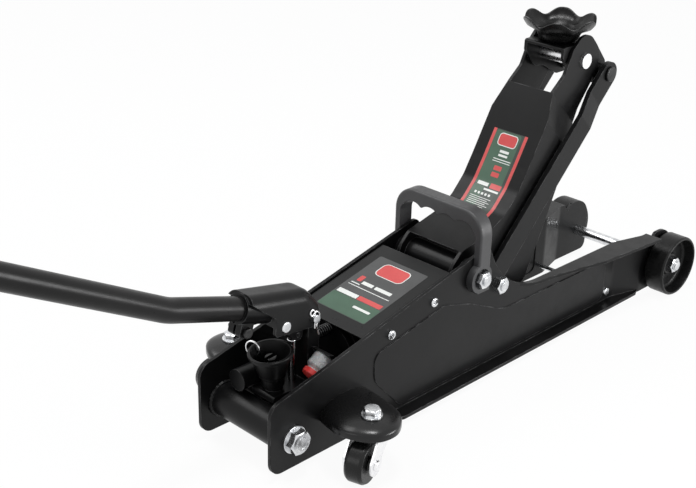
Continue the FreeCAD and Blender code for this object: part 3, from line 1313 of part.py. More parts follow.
def make_caster_wheel():
    """Caster wheel with hub ends that reach to the cheeks of the fork."""
    rim, half, face = "caster_z", "caster_width / 2", "fork_width / 2 - fork_wall - seat_gap"
    bore = "caster_axle / 2 + fit_gap"
    return rolled("caster_wheel_right", [
        (f"0 - ({face})", bore), (face, bore), (face, "7", "0.5"), (half, "8.5", "0.5"),
        (half, f"{rim} - 2", "1"), (f"{half} - 3", rim, "2.5"), (f"3 - {half}", rim, "2.5"),
        (f"0 - {half}", f"{rim} - 2", "1"), (f"0 - {half}", "8.5", "0.5"),
        (f"0 - ({face})", "7", "0.5")])


def make_caster_axle():
    """Caster axle with a round head at each side of the fork."""
    half, pin = "fork_width / 2", "caster_axle / 2"
    return rolled("caster_axle_right", [
        (f"0 - {half} - 3", "0"), (f"{half} + 3", "0"), (f"{half} + 3", "5", "1"),
        (half, "6", "0.4"), (half, pin), (f"0 - {half}", pin), (f"0 - {half}", "6", "0.4"),
        (f"0 - {half} - 3", "5", "1")])


def at_kingpin(make, label, level):
    """Pieces on both kingpins at one level, kept as one group."""
    right = place(make(label + "_right"), "caster_x", "0 - caster_y", level)
    return group(label, [right, mirrored(right, label + "_left")])


keep(make_caster_bracket())
keep(mirrored(pieces[-1], "caster_bracket_left"))


def make_kingpin(label):
    """Flanged bolt that the fork turns on."""
    shank = "dome_top + 2 - fork_top + fork_wall + seat_gap + 2.5"
    body = hex_bolt(label, "16", "7", "caster_bolt", shank)
    pad(body, new_sketch(body, "XY", circles=[("0", "0", "22")]), "2", backwards=True)
    return body


at_kingpin(make_kingpin, "caster_bolts", "dome_top + 2")
at_kingpin(lambda n: ring(n, "15", "caster_bolt", "2.5"), "caster_bolt_nuts",
           "fork_top - fork_wall - seat_gap - 2.5")
at_kingpin(lambda n: ring(n, "22", "caster_bolt", "dome_top - dome_wall - fork_top - seat_gap"),
           "caster_bearings", "fork_top + seat_gap")
for make, label in ((make_fork, "caster_fork_left"),
                    (lambda: on_caster_axle(make_caster_wheel()), "caster_wheel_left"),
                    (lambda: on_caster_axle(make_caster_axle()), "caster_axle_left")):
    keep(mirrored(keep(make()), label))


# ---------------------------------------------------------------- checks and files

doc.recompute()
for item in doc.Objects:
    if "Invalid" in item.State or "Error" in item.State:
        raise RuntimeError(f"{item.Label} did not compute")
for piece in pieces:
    if piece.Shape.isNull() or not piece.Shape.isValid():
        raise RuntimeError(f"{piece.Label} is not a sound solid")
os.makedirs("parts", exist_ok=True)
for piece in pieces:
    piece.Shape.exportStep(f"parts/{piece.Label}.step")
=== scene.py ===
"""Hydraulic trolley jack: finishes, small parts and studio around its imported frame."""
import json
import logging
import math
from dataclasses import dataclass, field
from enum import Enum
from typing import Callable

import bmesh
import bpy
from mathutils import Matrix, Vector


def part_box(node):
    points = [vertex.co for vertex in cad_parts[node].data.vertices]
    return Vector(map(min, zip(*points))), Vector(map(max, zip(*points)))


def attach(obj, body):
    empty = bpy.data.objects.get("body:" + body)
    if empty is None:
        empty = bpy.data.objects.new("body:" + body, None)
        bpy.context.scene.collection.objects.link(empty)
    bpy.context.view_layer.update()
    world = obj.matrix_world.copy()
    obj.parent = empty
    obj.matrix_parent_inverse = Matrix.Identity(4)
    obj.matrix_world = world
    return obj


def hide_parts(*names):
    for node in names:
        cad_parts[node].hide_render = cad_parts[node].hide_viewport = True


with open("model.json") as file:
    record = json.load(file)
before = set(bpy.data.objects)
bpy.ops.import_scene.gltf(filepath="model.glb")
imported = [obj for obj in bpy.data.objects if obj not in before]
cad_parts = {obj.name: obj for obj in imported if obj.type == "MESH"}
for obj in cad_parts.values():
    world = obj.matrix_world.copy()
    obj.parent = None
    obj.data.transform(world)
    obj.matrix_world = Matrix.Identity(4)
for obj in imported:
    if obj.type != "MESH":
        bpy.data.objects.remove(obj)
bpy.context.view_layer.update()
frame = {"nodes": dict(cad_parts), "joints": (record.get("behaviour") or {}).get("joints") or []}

log = logging.getLogger("trolley_jack")

Colour = tuple[float, float, float]
Socket = bpy.types.NodeSocket

# the mix node's sockets for colours, the samples and cosines of a soft edge, the noise of a full patch
MIX_FIRST, MIX_SECOND, MIX_RESULT = 6, 7, 2
EDGE_SAMPLES = 6
EDGE_TURN = (0.80, 0.985)
PATCH_END = 0.62


# ---------------------------------------------------------------- shader building

def fill(node: bpy.types.Node, **values: float) -> None:
    """Set a node's inputs, each named by its words joined with underscores."""
    for name, value in values.items():
        node.inputs[name.replace("_", " ")].default_value = value


class NodeGraph:
    """A material's node tree with short calls to add and join its nodes."""

    def __init__(self, name: str) -> None:
        """Make an empty material.

        Args:
            name: name of the material.
        """
        self.material = bpy.data.materials.new(name)
        self.material.use_nodes = True
        self.tree = self.material.node_tree
        self.tree.nodes.clear()
        self.output = self.tree.nodes.new("ShaderNodeOutputMaterial")
        self.shader = self.tree.nodes.new("ShaderNodeBsdfPrincipled")
        self.join(self.shader.outputs["BSDF"], self.output.inputs["Surface"])

    def join(self, source: Socket, target: Socket) -> None:
        """Link one socket to another."""
        self.tree.links.new(source, target)

    def add(self, kind: str, **values: float) -> bpy.types.Node:
        """Add a node.

        Args:
            kind: its type, without the common prefix.
            values: its inputs, each named by its words joined with underscores.

        Returns:
            The new node.
        """
        node = self.tree.nodes.new(f"ShaderNode{kind}")
        fill(node, **values)
        return node

    def noise(self, scale: float, detail: float = 3.0, rough: float = 0.55) -> Socket:
        """Noise over the surface.

        Args:
            scale: how many cells fit in a metre.
            detail: number of finer layers.
            rough: weight of the finer layers.

        Returns:
            Its value from 0 to 1.
        """
        node = self.add("TexNoise", Scale=scale, Detail=detail, Roughness=rough)
        self.join(self.add("TexCoord").outputs["Object"], node.inputs["Vector"])
        return node.outputs["Fac"]

    def ranged(self, value: Socket, low: float, high: float,
               start: float = 0.3, end: float = 0.7) -> Socket:
        """Stretch a value onto another range.

        Args:
            value: the value to stretch.
            low: result at the start.
            high: result at the end.
            start: value that gives low.
            end: value that gives high.

        Returns:
            The stretched value.
        """
        node = self.add("MapRange", From_Min=start, From_Max=end, To_Min=low, To_Max=high)
        self.join(value, node.inputs["Value"])
        return node.outputs["Result"]

    def blend(self, amount: Socket, first: Colour | Socket,
              second: Colour) -> Socket:
        """Colour between two.

        Args:
            amount: 0 for the first colour, 1 for the second.
            first: linear colour at 0, or the socket that gives it.
            second: linear colour at 1.

        Returns:
            The blended colour.
        """
        node = self.add("Mix")
        node.data_type = "RGBA"
        if isinstance(first, tuple):
            node.inputs[MIX_FIRST].default_value = (*first, 1.0)
        else:
            self.join(first, node.inputs[MIX_FIRST])
        node.inputs[MIX_SECOND].default_value = (*second, 1.0)
        self.join(amount, node.inputs[0])
        return node.outputs[MIX_RESULT]

    def mottle(self, scale: float, detail: float, first: Colour, second: Colour) -> Socket:
        """Two colours in soft clouds.

        Args:
            scale: how many clouds fit in a metre.
            detail: number of finer layers.
            first: linear colour of the one.
            second: linear colour of the other.

        Returns:
            The clouded colour.
        """
        return self.blend(self.ranged(self.noise(scale, detail), 0.0, 1.0), first, second)

    def vary_roughness(self, cloud: Socket, mean: float, under: float,
                       above: float) -> None:
        """Let the shader's roughness wander.

        Args:
            cloud: noise that it follows.
            mean: roughness that it wanders about.
            under: how far it falls below the mean.
            above: how far it rises above the mean.
        """
        self.join(self.ranged(cloud, mean - under, mean + above), self.shader.inputs["Roughness"])

    def paint(self, colour: Socket) -> None:
        """Give the shader its base colour."""
        self.join(colour, self.shader.inputs["Base Color"])

    def rounded(self, radius: float) -> Socket:
        """Soften the shading across sharp edges.

        Args:
            radius: radius of the softened edge in metres.

        Returns:
            A value from 0 on flat ground to 1 on an edge.
        """
        soft = self.add("Bevel", Radius=radius)
        soft.samples = EDGE_SAMPLES
        self.join(soft.outputs["Normal"], self.shader.inputs["Normal"])
        flat = self.add("NewGeometry")
        turn = self.add("VectorMath")
        turn.operation = "DOT_PRODUCT"
        self.join(soft.outputs["Normal"], turn.inputs[0])
        self.join(flat.outputs["Normal"], turn.inputs[1])
        return self.ranged(turn.outputs["Value"], 1.0, 0.0, *EDGE_TURN)

    def product(self, first: Socket, second: Socket) -> Socket:
        """Multiply two values."""
        node = self.add("Math")
        node.operation = "MULTIPLY"
        self.join(first, node.inputs[0])
        self.join(second, node.inputs[1])
        return node.outputs[0]

    def wear_and_glint_edges(self, rim: Socket, scale: float, most: float, start: float,
            ground: Socket, wear_and_glint: Colour) -> None:
        """Paint a ground colour whose edges are lightened in patches, partly as wear and partly as a painted
        highlight.

        Args:
            rim: 1 on an edge, 0 on flat ground.
            scale: how many patches fit in a metre.
            most: how bare a patch gets.
            start: value of the noise at which a patch begins.
            ground: socket of the colour beneath.
            wear_and_glint: linear colour of the lightened edges, partly wear and partly a painted highlight.
        """
        patchy = self.ranged(self.noise(scale, 4.0), 0.0, most, start, PATCH_END)
        # edges lightened in patches: partly wear, partly a painted highlight along the edges
        self.paint(self.blend(self.product(rim, patchy), ground, wear_and_glint))

    def emboss(self, height: Socket, depth: float, strength: float = 1.0) -> None:
        """Raise the shader's surface by a height.

        Args:
            height: the height from 0 to 1.
            depth: real height in metres.
            strength: weight of the effect.
        """
        node = self.add("Bump", Distance=depth, Strength=strength)
        self.join(height, node.inputs["Height"])
        if self.shader.inputs["Normal"].is_linked:
            self.join(self.shader.inputs["Normal"].links[0].from_socket, node.inputs["Normal"])
        self.join(node.outputs["Normal"], self.shader.inputs["Normal"])


# ---------------------------------------------------------------- finishes

@dataclass(frozen=True)
class Enamel:
    """Sprayed enamel over steel, with orange peel, faint dust, and edges lightened in patches that are
    partly wear and partly a painted highlight.
    """

    name: str
    colour: Colour
    worn: Colour
    roughness: float = 0.3
    peel: float = 0.00004
    gloss: float = 0.1
    coat: float = 0.16
    coat_soft: float = 0.26
    edge: float = 0.0011
    # light edge colour laid in patches: partly wear, partly a painted highlight along the edges
    edge_wear_and_glint: Colour = (0.2, 0.2, 0.202)

    def material(self) -> bpy.types.Material:
        """Build the paint's material."""
        graph = NodeGraph(self.name)
        ground = graph.mottle(9.0, 4.0, self.colour, self.worn)
        # edges lightened in patches: partly wear, partly a painted highlight
        graph.wear_and_glint_edges(graph.rounded(self.edge), scale=90.0, most=0.75, start=0.42, ground=ground,
                  wear_and_glint=self.edge_wear_and_glint)
        graph.vary_roughness(graph.noise(60.0, 5.0, 0.65), self.roughness, under=0.05, above=0.1)
        fill(graph.shader, Specular_IOR_Level=self.gloss, Coat_Weight=self.coat,
             Coat_Roughness=self.coat_soft)
        graph.emboss(graph.noise(420.0, 2.0), self.peel, 0.6)
        return graph.material


@dataclass(frozen=True)
class PlatedSteel:
    """Zinc plated or ground steel with soft cloudy glare and fine scratches."""

    name: str
    colour: Colour
    shade: Colour
    roughness: float = 0.2
    grain: float = 0.000006
    edge: float = 0.0006

    def material(self) -> bpy.types.Material:
        """Build the plated metal's material."""
        graph = NodeGraph(self.name)
        graph.rounded(self.edge)
        fill(graph.shader, Metallic=1.0)
        graph.paint(graph.mottle(120.0, 4.0, self.colour, self.shade))
        graph.vary_roughness(graph.noise(260.0, 4.0), self.roughness, under=0.05, above=0.1)
        graph.emboss(graph.noise(1200.0, 2.0), self.grain, 0.4)
        return graph.material


@dataclass(frozen=True)
class Casting:
    """Painted casting with a sandy skin."""

    name: str
    colour: Colour
    shade: Colour
    roughness: float = 0.4
    sand: float = 0.00014
    gloss: float = 0.2
    edge: float = 0.0014
    # light edge colour laid in patches: partly wear, partly a painted glint on the edges
    edge_wear_and_glint: Colour = (0.07, 0.07, 0.07)

    def material(self) -> bpy.types.Material:
        """Build the casting's material."""
        graph = NodeGraph(self.name)
        ground = graph.mottle(40.0, 4.0, self.colour, self.shade)
        # edges lightened in patches: partly wear, partly a painted glint
        graph.wear_and_glint_edges(graph.rounded(self.edge), scale=130.0, most=0.8, start=0.45, ground=ground,
                  wear_and_glint=self.edge_wear_and_glint)
        graph.vary_roughness(graph.noise(220.0, 3.0), self.roughness, under=0.08, above=0.12)
        fill(graph.shader, Specular_IOR_Level=self.gloss)
        graph.emboss(graph.noise(700.0, 4.0, 0.6), self.sand, 0.7)
        return graph.material


@dataclass(frozen=True)
class Moulding:
    """Moulded plastic or rubber with a fine spark-eroded skin."""

    name: str
    colour: Colour
    shade: Colour
    roughness: float = 0.5
    texture: float = 0.00004
    through: float = 0.0
    scatter: float = 0.0
    edge: float = 0.0008
    gloss: float = 0.5
    scatter_depth: float = 0.004

    def material(self) -> bpy.types.Material:
        """Build the plastic's material."""
        graph = NodeGraph(self.name)
        graph.rounded(self.edge)
        graph.paint(graph.mottle(30.0, 3.0, self.colour, self.shade))
        graph.vary_roughness(graph.noise(300.0, 3.0), self.roughness, under=0.06, above=0.08)
        fill(graph.shader, Specular_IOR_Level=self.gloss, Transmission_Weight=self.through,
             Subsurface_Weight=self.scatter, Subsurface_Scale=self.scatter_depth)
        graph.emboss(graph.noise(1100.0, 3.0), self.texture, 0.7)
        return graph.material


@dataclass(frozen=True)
class Print:
    """Printed film with a slightly uneven ink and a satin varnish."""

    name: str
    colour: Colour
    shade: Colour
    roughness: float = 0.34
    grain: float = 0.00001

    def material(self) -> bpy.types.Material:
        """Build the printed film's material."""
        graph = NodeGraph(self.name)
        graph.paint(graph.mottle(26.0, 4.0, self.colour, self.shade))
        graph.vary_roughness(graph.noise(180.0, 3.0), self.roughness, under=0.05, above=0.08)
        graph.emboss(graph.noise(900.0, 2.0), self.grain, 0.5)
        return graph.material


class Finish(Enum):
    """The finishes of the jack's pieces."""

    ENAMEL = Enamel("black_enamel", (0.0035, 0.0035, 0.0037), (0.007, 0.007, 0.0072), 0.34)
    TUBE = Enamel("tube_enamel", (0.007, 0.0068, 0.0068), (0.012, 0.0117, 0.0117), 0.3)
    COVER = Enamel("cover_enamel", (0.012, 0.0122, 0.0122), (0.019, 0.0192, 0.0192), 0.3)
    ZINC = PlatedSteel("zinc_plate", (0.86, 0.87, 0.88), (0.5, 0.51, 0.53))
    BRIGHT = PlatedSteel("bright_zinc", (0.93, 0.93, 0.93), (0.84, 0.84, 0.86), 0.26)
    GROUND = PlatedSteel("ground_steel", (0.78, 0.78, 0.79), (0.66, 0.66, 0.68), 0.14)
    BLACKED = PlatedSteel("blacked_steel", (0.035, 0.035, 0.036), (0.06, 0.06, 0.06), 0.3)
    CAST = Casting("cast_black", (0.005, 0.005, 0.0053), (0.011, 0.011, 0.0115), 0.3)
    WHEEL = Casting("wheel_black", (0.005, 0.005, 0.005), (0.01, 0.01, 0.01), 0.34, sand=0.00005)
    # the dish's light edge colour is a painted glint on its rim and edges, laid in patches like wear
    DISH = Casting("dish_black", (0.003, 0.003, 0.003), (0.006, 0.006, 0.006), 0.26, sand=0.00008,
                   gloss=0.16, edge=0.0012, edge_wear_and_glint=(0.14, 0.14, 0.14))
    HOOD = Enamel("hood_enamel", (0.003, 0.003, 0.0031), (0.005, 0.005, 0.0052), 0.22, peel=0.00002,
                  gloss=0.06, coat=0.6)
    GREY_NYLON = Moulding("grey_nylon", (0.03, 0.03, 0.031), (0.042, 0.042, 0.044), 0.42)
    BLACK_NYLON = Moulding("black_nylon", (0.006, 0.006, 0.006), (0.011, 0.011, 0.011), 0.26, gloss=0.25)
    RUBBER = Moulding("grip_rubber", (0.014, 0.014, 0.014), (0.026, 0.026, 0.026), 0.6, texture=0.00008)
    MILKY = Moulding("milky_plastic", (0.72, 0.72, 0.72), (0.84, 0.84, 0.84), 0.24, texture=0.00002,
                     through=0.45, scatter=0.05)
    RED = Moulding("red_plastic", (0.62, 0.03, 0.028), (0.74, 0.055, 0.05), 0.3, texture=0.00002,
                   scatter=0.1)
    PRINT_GREEN = Print("print_green", (0.035, 0.085, 0.05), (0.055, 0.12, 0.075))
    PRINT_DARK = Print("print_dark", (0.016, 0.024, 0.018), (0.03, 0.05, 0.036))
    PRINT_GREY = Print("print_grey", (0.045, 0.046, 0.046), (0.065, 0.066, 0.066))
    PRINT_RED = Print("print_red", (0.56, 0.055, 0.055), (0.66, 0.09, 0.085))
    PRINT_WHITE = Print("print_white", (0.74, 0.76, 0.73), (0.84, 0.85, 0.82))


FINISH_OF: dict[Finish, tuple[str, ...]] = {
    Finish.ENAMEL: ("side_plate_right", "side_plate_left", "rear_cross_tube", "lift_arm",
                    "link_bar_right", "link_bar_left", "saddle_bracket", "handle_socket",
                    "caster_bracket_right", "caster_bracket_left", "pump_block",
                    "release_cup", "reservoir_tank", "tank_head"),
    Finish.TUBE: ("handle_tube_lower", "handle_tube_upper", "handle_sleeve"),
    Finish.COVER: ("cover_plate",),
    Finish.ZINC: ("rear_tube_bolts", "rear_tube_washers", "tie_rod", "front_axle",
                  "front_axle_collars", "front_axle_nuts", "cover_screws", "arm_pivot_shaft",
                  "arm_pivot_nuts", "link_pivot_studs", "link_pivot_nuts", "lever_pin",
                  "ram_roller", "saddle_clip", "yoke_pivot_pin", "yoke_cotters", "socket_studs",
                  "caster_bolts", "caster_bolt_nuts", "caster_bearings"),
    Finish.BRIGHT: ("saddle_pivot_pin", "caster_fork_right", "caster_fork_left",
                    "caster_axle_right", "caster_axle_left"),
    Finish.BLACKED: ("link_pin", "socket_clamp_bolt", "pump_spring", "release_fork",
                     "pump_roller"),
    Finish.GROUND: ("ram_rod", "pump_plunger", "ram_cylinder"),
    Finish.CAST: ("saddle",),
    Finish.WHEEL: ("front_wheel_right", "front_wheel_left"),
    Finish.GREY_NYLON: ("carry_handle",),
    Finish.BLACK_NYLON: ("caster_wheel_right", "caster_wheel_left"),
    Finish.RUBBER: ("handle_grip",),
    Finish.MILKY: ("filler_cup",),
    Finish.RED: ("filler_cap",),
}


class Wardrobe:
    """Materials of all finishes, each built once."""

    def __init__(self) -> None:
        """Build one material for each finish."""
        self.made = {finish: finish.value.material() for finish in Finish}

    def dress(self, piece: bpy.types.Object, finish: Finish) -> None:
        """Give a piece one finish.

        Args:
            piece: mesh object to dress.
            finish: the finish it gets.
        """
        if not piece.material_slots:
            piece.data.materials.append(self.made[finish])
        for slot in piece.material_slots:
            slot.material = self.made[finish]

    def dress_frame(self) -> None:
        """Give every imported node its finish."""
        for finish, names in FINISH_OF.items():
            for name in names:
                self.dress(frame["nodes"][name], finish)
                log.info("%s in %s", name, finish.value.name)


# ---------------------------------------------------------------- mesh making

Shape = tuple[list[Vector], list[tuple[int, ...]]]

SAME_PLACE = 0.000002
SHARP_TURN = math.radians(38.0)


def pivot(joint: str) -> Vector:
    """Place of a joint's axis at rest.

    Args:
        joint: name of a hinge.

    Returns:
        The point in metres.
    """
    return Vector(next(entry["pos_m"] for entry in frame["joints"] if entry["name"] == joint))


def middle(node: str) -> Vector:
    """Middle of a node's box at rest."""
    low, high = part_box(node)
    return (low + high) / 2


def full_turn(steps: int) -> list[float]:
    """Angles of a whole turn in equal steps."""
    return [2 * math.pi * step / steps for step in range(steps)]


def smooth_path(points: list[Vector], steps: int, closed: bool = False) -> list[Vector]:
    """Round a run of points into a smooth line through all of them.

    Args:
        points: the points to pass through.
        steps: pieces between two neighbours.
        closed: whether the line returns to its start.

    Returns:
        Points along the smooth line.
    """
    count = len(points)
    line = []
    for index in range(count if closed else count - 1):
        if closed:
            a, b, c, d = (points[(index + shift) % count] for shift in (-1, 0, 1, 2))
        else:
            a, b, c, d = (points[min(max(index + shift, 0), count - 1)] for shift in (-1, 0, 1, 2))
        for step in range(steps):
            t = step / steps
            line.append(0.5 * (2 * b + (c - a) * t + (2 * a - 5 * b + 4 * c - d) * t * t
                               + (3 * b - a - 3 * c + d) * t ** 3))
    if not closed:
        line.append(points[-1].copy())
    return line


def net(rows: int, columns: int, ring: bool = False, loop: bool = False) -> list[tuple[int, ...]]:
    """Faces between corners that are stored row by row.

    Args:
        rows: number of rows.
        columns: corners in a row.
        ring: whether each row closes on itself.
        loop: whether the last row meets the first.

    Returns:
        Faces with four corners each.
    """
    faces = []
    for row in range(rows if loop else rows - 1):
        near, far = row * columns, (row + 1) % rows * columns
        for column in range(columns if ring else columns - 1):
            after = (column + 1) % columns
            faces.append((near + column, near + after, far + after, far + column))
    return faces


def two_skins(rows: int, columns: int) -> list[tuple[int, ...]]:
    """Faces of a sheet's two sides, where the second side's corners follow the first's."""
    first, base = net(rows, columns), rows * columns
    return first + [tuple(base + index for index in reversed(face)) for face in first]


def sweep(line: list[Vector], radius: Callable[[int], float], sides: int = 10,
          closed: bool = False) -> Shape:
    """Carry a circle along a line.

    Args:
        line: points of the line.
        radius: the circle's radius at each point.
        sides: corners of the circle.
        closed: whether the line is a loop.

    Returns:
        Corners and faces of a closed solid.
    """
    count = len(line)
    corners: list[Vector] = []
    side = None
    for index, point in enumerate(line):
        ahead = line[(index + 1) % count] if closed or index < count - 1 else point
        back = line[index - 1] if closed or index > 0 else point
        along = (ahead - back).normalized()
        if side is None:
            side = along.orthogonal().normalized()
        side = (side - along * side.dot(along)).normalized()
        other = along.cross(side)
        corners += [point + radius(index) * (side * math.cos(turn) + other * math.sin(turn))
                    for turn in full_turn(sides)]
    faces = net(count, sides, ring=True, loop=closed)
    if not closed:
        faces.append(tuple(range(sides - 1, -1, -1)))
        faces.append(tuple(range((count - 1) * sides, count * sides)))
    return corners, faces


def lathe(profile: list[tuple[float, float]], centre: Vector, axis: Vector, sides: int = 40) -> Shape:
    """Turn a closed outline round an axis.

    Args:
        profile: closed outline as radius and height.
        centre: point on the axis at height zero.
        axis: direction of the axis.
        sides: steps round the axis.

    Returns:
        Corners and faces of a ring-shaped solid.
    """
    along = axis.normalized()
    side = along.orthogonal().normalized()
    other = along.cross(side)
    corners = []
    for turn in full_turn(sides):
        out = side * math.cos(turn) + other * math.sin(turn)
        corners += [centre + out * radius + along * height for radius, height in profile]
    return corners, net(sides, len(profile), ring=True, loop=True)


def joined(shapes: list[Shape]) -> Shape:
    """Put several solids into one mesh."""
    corners: list[Vector] = []
    faces: list[tuple[int, ...]] = []
    for points, polygons in shapes:
        base = len(corners)
        corners += points
        faces += [tuple(base + index for index in polygon) for polygon in polygons]
    return corners, faces


@dataclass
class Forge:
    """Makes pieces from corners and faces, dresses them and sets them on a body."""

    wardrobe: Wardrobe

    def make(self, name: str, shape: Shape, finish: Finish, body: str, slot: str) -> bpy.types.Object:
        """Make one piece.

        Args:
            name: name of the piece.
            shape: its corners and faces.
            finish: finish it gets.
            body: body it rides on.
            slot: material slot of the record that it belongs to; not used.

        Returns:
            The new mesh object.
        """
        mesh = bpy.data.meshes.new(name)
        mesh.from_pydata([tuple(point) for point in shape[0]], [], shape[1])
        work = bmesh.new()
        work.from_mesh(mesh)
        bmesh.ops.remove_doubles(work, verts=work.verts, dist=SAME_PLACE)
        bmesh.ops.recalc_face_normals(work, faces=work.faces)
        work.to_mesh(mesh)
        work.free()
        mesh.shade_smooth()
        mesh.set_sharp_from_angle(angle=SHARP_TURN)
        piece = bpy.data.objects.new(name, mesh)
        bpy.context.scene.collection.objects.link(piece)
        self.wardrobe.dress(piece, finish)
        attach(piece, body)
        log.info("%s on %s", name, body)
        return piece


# ---------------------------------------------------------------- printed films

@dataclass(frozen=True)
class Patch:
    """One printed area: its reach along and across the film, its rounding and its layer."""

    along: tuple[float, float]
    across: tuple[float, float]
    rounding: float = 0.0
    level: int = 0


@dataclass
class Film:
    """Thin printed film that follows the face of a node."""

    forge: Forge
    node: str
    body: str
    slot: str
    origin: Vector
    along: Vector
    across: Vector
    face: Vector
    step: float = 0.003
    base_lift: float = 0.00004
    layer: float = 0.00008
    search: float = 0.06
    tip: float = 0.0001

    def seat(self, u: float, v: float) -> tuple[Vector, Vector]:
        """Point and normal of the node's face under a place on the film.

        Args:
            u: metres along the film.
            v: metres across the film.

        Returns:
            The point and the normal there.
        """
        start = self.origin + self.along * u + self.across * v + self.face * self.search
        hit, point, normal, _ = frame["nodes"][self.node].ray_cast(start, -self.face)
        if not hit:
            raise RuntimeError(f"{self.node} has no face under {u:.4f}, {v:.4f}")
        return point, normal

    def area(self, patch: Patch) -> Shape:
        """Closed thin sheet for one printed area.

        Args:
            patch: the printed area.

        Returns:
            Corners and faces.
        """
        (u0, u1), (v0, v1) = patch.along, patch.across
        radius = min(patch.rounding, (u1 - u0) / 2, (v1 - v0) / 2)
        count = max(2, round((u1 - u0) / self.step))
        rows = [u0 + (u1 - u0) * index / count for index in range(count + 1)]
        if radius:
            arc = [radius * (1 - math.cos(math.radians(angle))) for angle in range(0, 91, 18)]
            rows = sorted({round(row, 6) for row in [u0 + cut for cut in arc] + [u1 - cut for cut in arc]
                           + [row for row in rows if u0 + radius < row < u1 - radius]})
        columns = max(2, round((v1 - v0) / (self.step * 3)))
        low = self.base_lift + patch.level * self.layer
        high = low + self.layer
        top: list[Vector] = []
        bottom: list[Vector] = []
        for u in rows:
            near = radius - min(u - u0, u1 - u, radius)
            pull = radius - math.sqrt(max(radius * radius - near * near, 0.0))
            pull = min(pull, (v1 - v0) / 2 - self.tip)
            for column in range(columns + 1):
                v = v0 + pull + (v1 - v0 - 2 * pull) * column / columns
                point, normal = self.seat(u, v)
                top.append(point + normal * high)
                bottom.append(point + normal * low)
        width, count = columns + 1, len(top)
        faces = two_skins(len(rows), width)
        edge = list(range(width))
        edge += [row * width + columns for row in range(1, len(rows))]
        edge += [(len(rows) - 1) * width + column for column in range(columns - 1, -1, -1)]
        edge += [row * width for row in range(len(rows) - 2, 0, -1)]
        for first, second in zip(edge, edge[1:] + edge[:1]):
            faces.append((first, count + first, count + second, second))
        return top + bottom, faces

    def lay(self, name: str, finish: Finish, patches: list[Patch]) -> None:
        """Lay all areas of one ink."""
        self.forge.make(name, joined([self.area(patch) for patch in patches]), finish, self.body, self.slot)


def millimetres(along: tuple[float, float], across: tuple[float, float], rounding: float = 0.0,
                level: int = 1) -> Patch:
    """Patch from measures in millimetres."""
    return Patch((along[0] / 1000, along[1] / 1000), (across[0] / 1000, across[1] / 1000),
                 rounding / 1000, level)


@dataclass
class ArmLabel:
    """Plain striped label on the arm's top plate."""

    forge: Forge
    start: float = 70.0
    end: float = 175.0
    half: float = 25.0
    stripe: float = 4.6

    def build(self) -> None:
        """Lay ground, stripes and blocks."""
        root, tip = pivot("arm_lift"), pivot("saddle_level")
        along = (tip - root).normalized()
        face = Vector((-along.z, 0.0, along.x))
        film = Film(self.forge, "lift_arm", "lift_arm", "black_paint", root, along,
                    Vector((0.0, 1.0, 0.0)), face)
        inner = self.half - self.stripe
        film.lay("arm_label_ground", Finish.PRINT_DARK, [
            millimetres((self.start, self.end), (-self.half, self.half), 1.5, 0)])
        film.lay("arm_label_field", Finish.PRINT_GREEN, [
            millimetres((self.start + 38.0, self.end - 1.0), (4.0 - inner, inner), 3.0),
            millimetres((self.start + 8.0, self.start + 37.0), (4.0, inner), 3.0)])
        film.lay("arm_label_red", Finish.PRINT_RED, [
            millimetres((self.start, self.end), (inner, self.half - 0.4), 0.0, 2),
            millimetres((self.start, self.end), (0.4 - self.half, -inner), 0.0, 2),
            millimetres((158.0, 171.0), (-12.5, 12.5), 3.5, 3),
            millimetres((128.5, 134.0), (-7.0, 4.0), 1.0, 2),
            millimetres((120.5, 126.0), (-7.0, 4.0), 1.0, 2),
            millimetres((106.5, 113.0), (-17.5, -2.0), 0.6, 2)])
        bars = [millimetres((157.0, 172.0), (-13.5, 13.5), 4.5, 2),
                millimetres((149.5, 152.5), (-8.0, 5.0), 0.4, 2),
                millimetres((145.0, 147.6), (-8.0, 5.0), 0.4, 2),
                millimetres((141.0, 142.0), (-15.0, 10.0), 0.0, 2),
                millimetres((138.4, 139.2), (-15.0, 10.0), 0.0, 2),
                millimetres((107.5, 112.0), (1.0, 16.5), 0.4, 2),
                millimetres((102.5, 105.0), (-17.0, 4.0), 0.4, 2)]
        bars += [millimetres((96.0, 99.0), (v, v + 3.0), 0.6, 2) for v in (-9.0, -4.0, 1.0, 6.0, 11.0)]
        bars += [millimetres((u, u + 0.7), (-9.0 if index % 2 else -13.0, 17.0), 0.0, 2)
                 for index, u in enumerate((92.0, 89.6, 87.2, 84.8, 82.4, 80.0))]
        film.lay("arm_label_white", Finish.PRINT_WHITE, bars)


